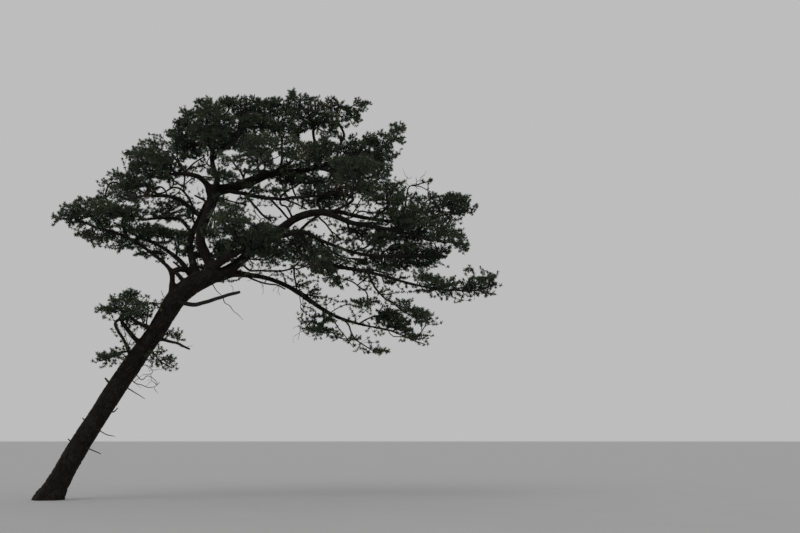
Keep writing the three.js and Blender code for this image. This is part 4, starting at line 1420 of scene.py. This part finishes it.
# ----------------------------------------------------------------- needles --
NEEDLES_PER_SHOOT = 30
first_across = unit(np.cross(axis, [0.31, 0.52, 0.79]))
second_across = np.cross(axis, first_across)
M = NEEDLES_PER_SHOOT // 2
along = r.uniform(0.0, 1.0, (len(at), M)) ** 0.8
azimuth = (np.arange(M)[None] * 2.39996 + r.uniform(0, TAU, (len(at), 1)) + r.normal(size=(len(at), M)) * 0.25)
open_angle = np.radians(98 - 66 * along + r.normal(size=along.shape) * 9)
spread = np.sin(open_angle)[..., None] * (
    np.cos(azimuth)[..., None] * first_across[:, None] + np.sin(azimuth)[..., None] * second_across[:, None]
)
way = unit(np.cos(open_angle)[..., None] * axis[:, None] + spread)
foot = at[:, None] + axis[:, None] * (length[:, None] * along)[..., None]
needle_length = r.uniform(0.062, 0.086, along.shape) * (0.88 + 0.16 * r.uniform(size=(len(at), 1)))
pair_side = unit(np.cross(way, r.normal(size=way.shape)))
verts = np.zeros((len(at), M, 2, 3, 3), np.float32)
NEEDLE_WIDTH = 0.0188
for k, sign in enumerate((-1, 1)):
    one = unit(way + sign * 0.13 * pair_side)
    flat = unit(np.cross(one, r.normal(size=one.shape)))
    half = NEEDLE_WIDTH / 2
    verts[:, :, k, 0] = foot - flat * half
    verts[:, :, k, 1] = foot + flat * half
    verts[:, :, k, 2] = foot + one * (needle_length * r.uniform(0.92, 1.05, along.shape))[..., None]

# each spray takes one tone: lighter high and darker low in its mass, painted light on top and painted shade underneath,
# with some tones changed at random
pad_light_and_tone = np.zeros(len(PADS), int)
for k, (middle, half, tilt, high, name) in enumerate(PADS):
    # painted light and shade: the higher the spray sits in its mass, the lighter its tone
    level = 1.9 + 1.5 * high + r.normal() * 0.75
    pad_light_and_tone[k] = int(np.clip(round(level), 0, 4))
    if r.uniform() < 0.03:
        pad_light_and_tone[k] = 5
tone = pad_light_and_tone[pads]
tone = np.where(r.uniform(size=len(tone)) < 0.14, np.clip(tone + r.integers(-1, 2, len(tone)), 0, 4), tone)
LIMIT = 190000
for t, (name, colour) in enumerate(NEEDLE_TONES):
    own = verts[tone == t].reshape(-1, 3)
    skin = needle_material(name, colour)
    parts = max(1, math.ceil(len(own) / 3 / LIMIT))
    per = math.ceil(len(own) / 3 / parts) * 3
    for k in range(parts):
        piece = own[k * per : (k + 1) * per]
        if len(piece):
            faces = np.arange(len(piece)).reshape(-1, 3)
            mesh_object(f"{name}_{k + 1}" if parts > 1 else name, piece, faces, skin)

# ------------------------------------------------------------------- wood ---
# The trunk and the heavy limbs are grown together into one skin, then smoothed
# and given plates and fissures.
JOINED = ["trunk", "stem_front", "stem_back", "right_bough", "fork_bough", "low_right_bough", "upper_right_bough", "top_bough",
          "upper_left_bough", "mid_left_bough", "low_left_bough", "left_fork_bough", "arch_root", "arch_bough",
          "arch_lower", "arch_upper", "upper_reach", "small_crown_bough", "mid_reach", "mid_right_root",
          "mid_right_bough", "low_right_tip", "left_bridge", "left_link"]
VOXEL = 0.030
SMOOTHED_OFF = 0.0002  # the smoothing takes this, divided by the radius, off a limb


def skin_tube(name, sides):
    """A closed tube for one line, with the flare of the foot on the trunk."""
    l = LINES[name]
    line, run, radius = l["line"], l["run"], l["radius"]
    along, across, side = frames(line)
    a = np.arange(sides) / sides * TAU
    size = np.repeat((radius + SMOOTHED_OFF / radius)[:, None], sides, 1)
    if name == "trunk":
        flare = np.exp(-np.maximum(0, line[:, 2]) / FLARE_REACH)[:, None]
        lobes = FLARE_LOBE_DEPTH * np.cos(FLARE_LOBES * a + 0.6)[None] * flare
        size = size * (1 + FLARE_GAIN * flare + lobes)
    rough = waves(
        np.stack([np.repeat(run[:, None], sides, 1).ravel() * 1.0,
                  (np.cos(a)[None] * radius[:, None]).ravel() * 4,
                  (np.sin(a)[None] * radius[:, None]).ravel() * 4], 1),
        3.2, 60 + len(name)).reshape(size.shape)
    size = size * (1 + 0.045 * rough)
    ring = line[:, None] + size[..., None] * (
        np.cos(a)[None, :, None] * across[:, None] + np.sin(a)[None, :, None] * side[:, None]
    )
    ring = ring.reshape(-1, 3)
    faces = ring_faces(len(line), sides)
    n = len(ring)
    ring = np.vstack([ring, line[0], line[-1] + along[-1] * radius[-1] * 0.5])
    k = np.arange(sides)
    last = (len(line) - 1) * sides
    caps = [np.stack([(k + 1) % sides, k, np.full(sides, n)], 1),
            np.stack([last + k, last + (k + 1) % sides, np.full(sides, n + 1)], 1)]
    return ring, np.vstack([faces, *caps])


shell = Heap()
for name in JOINED:
    shell.add(*skin_tube(name, 28 if name == "trunk" else 16))
v, t, _ = shell.joined()
raw = mesh_object("raw_wood", v, t, BARK)
remesh = raw.modifiers.new("remesh", "REMESH")
remesh.mode = "VOXEL"
remesh.voxel_size = VOXEL
bpy.context.view_layer.update()
done = raw.evaluated_get(bpy.context.evaluated_depsgraph_get())
skinned = bpy.data.meshes.new_from_object(done)
old = raw.data
bpy.data.objects.remove(raw)
bpy.data.meshes.remove(old)
bm = bmesh.new()
bm.from_mesh(skinned)
bmesh.ops.triangulate(bm, faces=bm.faces[:])
bm.to_mesh(skinned)
bm.free()
co = np.zeros(len(skinned.vertices) * 3)
skinned.vertices.foreach_get("co", co)
co = co.reshape(-1, 3)
edges = np.zeros(len(skinned.edges) * 2, int)
skinned.edges.foreach_get("vertices", edges)
edges = edges.reshape(-1, 2)
tri = np.zeros(len(skinned.polygons) * 3, int)
skinned.polygons.foreach_get("vertices", tri)
tri = tri.reshape(-1, 3)
bpy.data.meshes.remove(skinned)
degree = np.bincount(edges.ravel(), minlength=len(co))[:, None]


def relaxed(values, times, share=0.5):
    for _ in range(times):
        total = np.zeros_like(values)
        for k in range(values.shape[1]):
            total[:, k] = np.bincount(edges[:, 0], values[edges[:, 1], k], len(values)) + np.bincount(
                edges[:, 1], values[edges[:, 0], k], len(values)
            )
        values = values + share * (total / np.maximum(degree, 1) - values)
    return values


def normals_of(co, tri):
    n = np.cross(co[tri[:, 1]] - co[tri[:, 0]], co[tri[:, 2]] - co[tri[:, 0]])
    out = np.zeros_like(co)
    for k in range(3):
        for c in range(3):
            out[:, c] += np.bincount(tri[:, k], n[:, c], len(co))
    return unit(out)


co = relaxed(co, 4)
normals = normals_of(co, tri)

# every skin point finds its limb, how far along it lies and how far round
axis_points, axis_limb, axis_index = [], [], []
limb_frames = {}
for k, name in enumerate(JOINED):
    l = LINES[name]
    limb_frames[k] = frames(l["line"])
    axis_points.append(l["line"])
    axis_limb.append(np.full(len(l["line"]), k))
    axis_index.append(np.arange(len(l["line"])))
axis_points = np.vstack(axis_points)
axis_limb, axis_index = np.concatenate(axis_limb), np.concatenate(axis_index)
axis_radius = np.concatenate([LINES[n]["radius"] for n in JOINED])
axis_tree = kdtree.KDTree(len(axis_points))
for i, p in enumerate(axis_points):
    axis_tree.insert(p, i)
axis_tree.balance()
chosen = np.zeros(len(co), int)
for i, p in enumerate(co):
    chosen[i] = min(axis_tree.find_n(p, 6), key=lambda f: f[2] - axis_radius[f[1]])[1]
limb_of, where = axis_limb[chosen], axis_index[chosen]
relief = np.ones(len(co))
push = np.zeros(len(co))
for k, name in enumerate(JOINED):
    own = np.flatnonzero(limb_of == k)
    if not len(own):
        continue
    l = LINES[name]
    tangent, across, side = limb_frames[k]
    w = where[own]
    off = co[own] - l["line"][w]
    run = l["run"][w] + np.sum(off * tangent[w], 1) + l["start"]
    angle = np.arctan2(np.sum(off * side[w], 1), np.sum(off * across[w], 1))
    size = l["radius"][w]
    mean = float(np.mean(l["radius"]))
    width = 0.030 + 0.30 * min(mean, 0.25) * 0.75
    around = max(4, int(round(TAU * mean / width)))
    x = (angle / TAU) % 1.0 * around
    # plates lean and wander a little as they climb
    x = x + 0.55 * np.sin(run * 3.1 + angle * 2) + 0.25 * np.sin(run * 7.7 + 1.3)
    y = run / (width * 2.8)
    y = y + 0.3 * np.sin(angle * 3 + run)
    # the edges of the plates are ragged
    x = x + 0.20 * waves(co[own], 15.0, 5, 7) + 0.13 * waves(co[own], 38.0, 6, 9)
    y = y + 0.16 * waves(co[own], 15.0, 7, 7) + 0.08 * waves(co[own], 38.0, 8, 9)
    cx, cy = np.floor(x), np.floor(y)
    near = np.full((2, len(own)), 9.0)
    which = np.zeros(len(own))
    for dx in (-1, 0, 1):
        for dy in (-1, 0, 1):
            gx, gy = cx + dx, cy + dy
            hx = np.mod(gx, around)
            px = gx + 0.15 + 0.7 * hashed(hx, gy, k + 1)
            py = gy + 0.15 + 0.7 * hashed(gy, hx, k + 37)
            gap = np.hypot((x - px), (y - py) * 1.35)
            closer = gap < near[0]
            near[1] = np.where(closer, near[0], np.minimum(near[1], gap))
            which = np.where(closer, hashed(hx, gy, k + 91), which)
            near[0] = np.where(closer, gap, near[0])
    edge = near[1] - near[0]
    plate = step(0.0, 0.26, edge) * (0.72 + 0.28 * hashed(cx, cy, k + 5))
    scale = np.clip(size / 0.25, 0.14, 1.0)
    deep = 0.024 * scale
    foot = 1 + 0.5 * np.exp(-np.maximum(0, co[own, 2]) / 0.8) * (name == "trunk")
    push[own] = deep * foot * ((plate - 0.62) + 0.35 * (which - 0.5) * plate)
    # relief sets the bark's colour: low at the plate edges, giving the fissures the dark crack colour, partly the
    # bark's own and partly painted shade; on the plates it varies at random from plate to plate
    relief[own] = np.clip(0.26 + 0.44 * plate + 0.34 * (which - 0.45) * plate, 0, 1)
fine = waves(co, 34.0, 3, 9)
coarse = waves(co, 5.0, 4, 7)
thick = np.clip(axis_radius[chosen] / 0.25, 0.10, 1.0)
push += 0.0035 * fine * thick + 0.012 * coarse * thick
relief = np.clip(relief + 0.13 * fine, 0, 1)
co = co + normals * push[:, None]

bark = mesh_object("trunk_and_boughs", co, tri, BARK, smooth=True, marks={"relief": relief})
bm = bmesh.new()
bm.from_mesh(bark.data)
bmesh.ops.bisect_plane(
    bm,
    geom=bm.verts[:] + bm.edges[:] + bm.faces[:],
    plane_co=(0, 0, 0),
    plane_no=(0, 0, 1),
    clear_inner=True,
)
rim = [e for e in bm.edges if e.is_boundary]
bmesh.ops.triangle_fill(bm, use_beauty=True, use_dissolve=False, edges=rim)
bm.to_mesh(bark.data)
bm.free()
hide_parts(*[n for n in JOINED if n in frame["nodes"]])

# thinner limbs, each a tube with knobs and flaking bark
slim = Heap()
slim_dead = Heap()
for name, l in LINES.items():
    if name in JOINED:
        continue
    r = dice(300 + len(name) * 7 + int(l["run"][-1] * 1000))
    radius = l["radius"]
    sides = 12 if radius[0] > 0.03 else 8 if radius[0] > 0.014 else 5
    line, run = bent(l["line"][:: max(1, len(l["line"]) // 40)], 0.035 if radius[0] > 0.02 else 0.05)
    size = np.interp(run / run[-1], np.linspace(0, 1, len(radius)), radius)
    kinks = unit(r.normal(size=(3, 3))) * 0.012
    for k in range(3):
        line = line + kinks[k] * (np.sin(run * (5 + 4 * k) + k) * np.sin(np.clip(run / run[-1], 0, 1) * math.pi))[:, None]
    along, across, side = frames(line)
    a = np.arange(sides) / sides * TAU
    knobs = waves(
        np.stack([np.repeat(run[:, None] * 14, sides, 1).ravel(),
                  np.tile(np.cos(a) * 1.6, len(line)), np.tile(np.sin(a) * 1.6, len(line))], 1),
        1.0, 500 + len(name)).reshape(len(line), sides)
    if l["dead"]:
        # it ends broken off: splintered and blunt rather than round
        end = step(0.12, 0.0, run[-1] - run)[:, None]
        size = size[:, None] * (1 + 0.10 * knobs) * (1 - 0.35 * end * (0.5 + 0.5 * np.cos(a * 3 + 1)))
    else:
        size = size[:, None] * (1 + 0.09 * knobs)
    ring = (line[:, None] + size[..., None] * (
        np.cos(a)[None, :, None] * across[:, None] + np.sin(a)[None, :, None] * side[:, None])).reshape(-1, 3)
    last = (len(line) - 1) * sides
    end = line[-1] + along[-1] * size[-1].mean() * (0.2 if l["dead"] else 1.2)
    k = np.arange(sides)
    faces = np.vstack([ring_faces(len(line), sides),
                       np.stack([last + k, last + (k + 1) % sides, np.full(sides, len(ring))], 1)])
    ring = np.vstack([ring, end])
    # the colour follows the knobs: lighter on them and darker in the dents between them, painted shade in the hollows;
    # the end point is darker
    mark = np.append(np.clip(0.62 + 0.4 * knobs.ravel(), 0, 1), 0.3)
    (slim_dead if l["dead"] else slim).add(ring, faces, mark)

# dead twiglets: bare, kinked sticks on the inner limbs
r = dice(88)
hosts = [n for n in LINES if n not in ("trunk",) and not n.startswith(("stick", "stub", "snag"))]
for _ in range(230):
    name = hosts[int(r.integers(len(hosts)))]
    l = LINES[name]
    i = int(r.uniform(0.15, 0.98) * (len(l["line"]) - 1))
    tangent = unit(l["line"][min(i + 1, len(l["line"]) - 1)] - l["line"][max(i - 1, 0)])
    way = unit(np.cross(tangent, r.normal(size=3)) + tangent * r.uniform(0.1, 0.7) + np.array([0, 0, -0.15]))
    total = r.uniform(0.12, 0.42)
    points = [l["line"][i]]
    for _ in range(4):
        way = unit(way + r.normal(size=3) * 0.28)
        points.append(points[-1] + way * total / 4)
    line = np.array(points)
    if line[:, 2].min() > 0.3:
        radii = np.linspace(0.0065, 0.0024, 5) * r.uniform(0.8, 1.3)
        tube(slim_dead, line, radii, 3, 0.0, 0.7)
        if r.uniform() < 0.6:
            k = int(r.integers(1, 4))
            branch = np.array([line[k], line[k] + unit(way + r.normal(size=3) * 0.7) * total * 0.3])
            tube(slim_dead, branch, np.array([0.004, 0.0024]), 3, 0.0, 0.7)

v, t, marks = slim.joined()
thin = mesh_object("thin_limbs", v, t, BARK_THIN, smooth=True, marks={"relief": marks})
v, t, marks = slim_dead.joined()
dead = mesh_object("dead_limbs", v, t, DEAD_WOOD, smooth=True, marks={"relief": marks})
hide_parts("broken_bough", "dead_bough")
v, t, marks = twigs.joined()
parts = math.ceil(len(t) / LIMIT)
for k, own in enumerate(np.array_split(t, parts)):
    used, faces = np.unique(own, return_inverse=True)
    mesh_object(f"twigs_{k + 1}", v[used], faces.reshape(-1, 3), BARK_THIN, smooth=True, marks={"relief": marks[used]})

# every mass is stood for by the needles
names = list(MASSES)
for k, name in enumerate(names):
    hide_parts(name)

# ------------------------------------------------------------------- stage --


def stage_material(name, colour):
    m, tree, skin = material(name)
    place = tree.nodes.new("ShaderNodeTexCoord").outputs["Object"]
    grain = node(tree, "TexNoise", Scale=0.6, Detail=3)
    tree.links.new(place, grain.inputs["Vector"])
    low, high = tuple(0.985 * c for c in colour), tuple(min(1, 1.015 * c) for c in colour)
    tree.links.new(ramp(tree, grain.outputs["Fac"], [(0.3, low), (0.7, high)]), skin.inputs["Base Color"])
    skin.inputs["Roughness"].default_value = 0.9
    skin.inputs["Specular IOR Level"].default_value = 0.1
    return m


FLOOR_RADIUS, FLOOR_SIDES = 4000.0, 96
rim = np.arange(FLOOR_SIDES) / FLOOR_SIDES * TAU
floor = mesh_object(
    "floor",
    np.vstack([np.zeros(3), np.stack([np.cos(rim), np.sin(rim), 0 * rim], 1) * FLOOR_RADIUS]),
    np.stack([np.zeros(FLOOR_SIDES, int), 1 + np.arange(FLOOR_SIDES), 1 + (np.arange(FLOOR_SIDES) + 1) % FLOOR_SIDES], 1),
    stage_material("floor_pale", (0.52, 0.52, 0.52)),
    body=None,
)

world = bpy.data.worlds.new("studio")
bpy.context.scene.world = world
world.use_nodes = True
world.node_tree.nodes["Background"].inputs["Color"].default_value = (0.51, 0.51, 0.51, 1)
world.node_tree.nodes["Background"].inputs["Strength"].default_value = 1.0
sun = bpy.data.objects.new("soft_key", bpy.data.lights.new("soft_key", "SUN"))
sun.data.energy = 0.55
sun.data.angle = math.radians(50)
sun.rotation_euler = (math.radians(38), math.radians(-22), 0)
bpy.context.scene.collection.objects.link(sun)

scene = bpy.context.scene
scene.view_settings.view_transform = "Standard"
scene.cycles.max_bounces = 4
scene.cycles.diffuse_bounces = 2
scene.cycles.glossy_bounces = 1
scene.cycles.transmission_bounces = 0
scene.cycles.transparent_max_bounces = 2

# -------------------------------------------------------------- bookkeeping --
tally = {
    o.name: len(o.data.polygons)
    for o in bpy.data.objects
    if o.type == "MESH" and "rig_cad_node" not in o
}
print("TRIANGLES", sum(tally.values()), tally)
print("SHOOTS", len(shoot_at), "bearing", len(bearing), "pads", len(PADS), "nodes", len(POINTS))
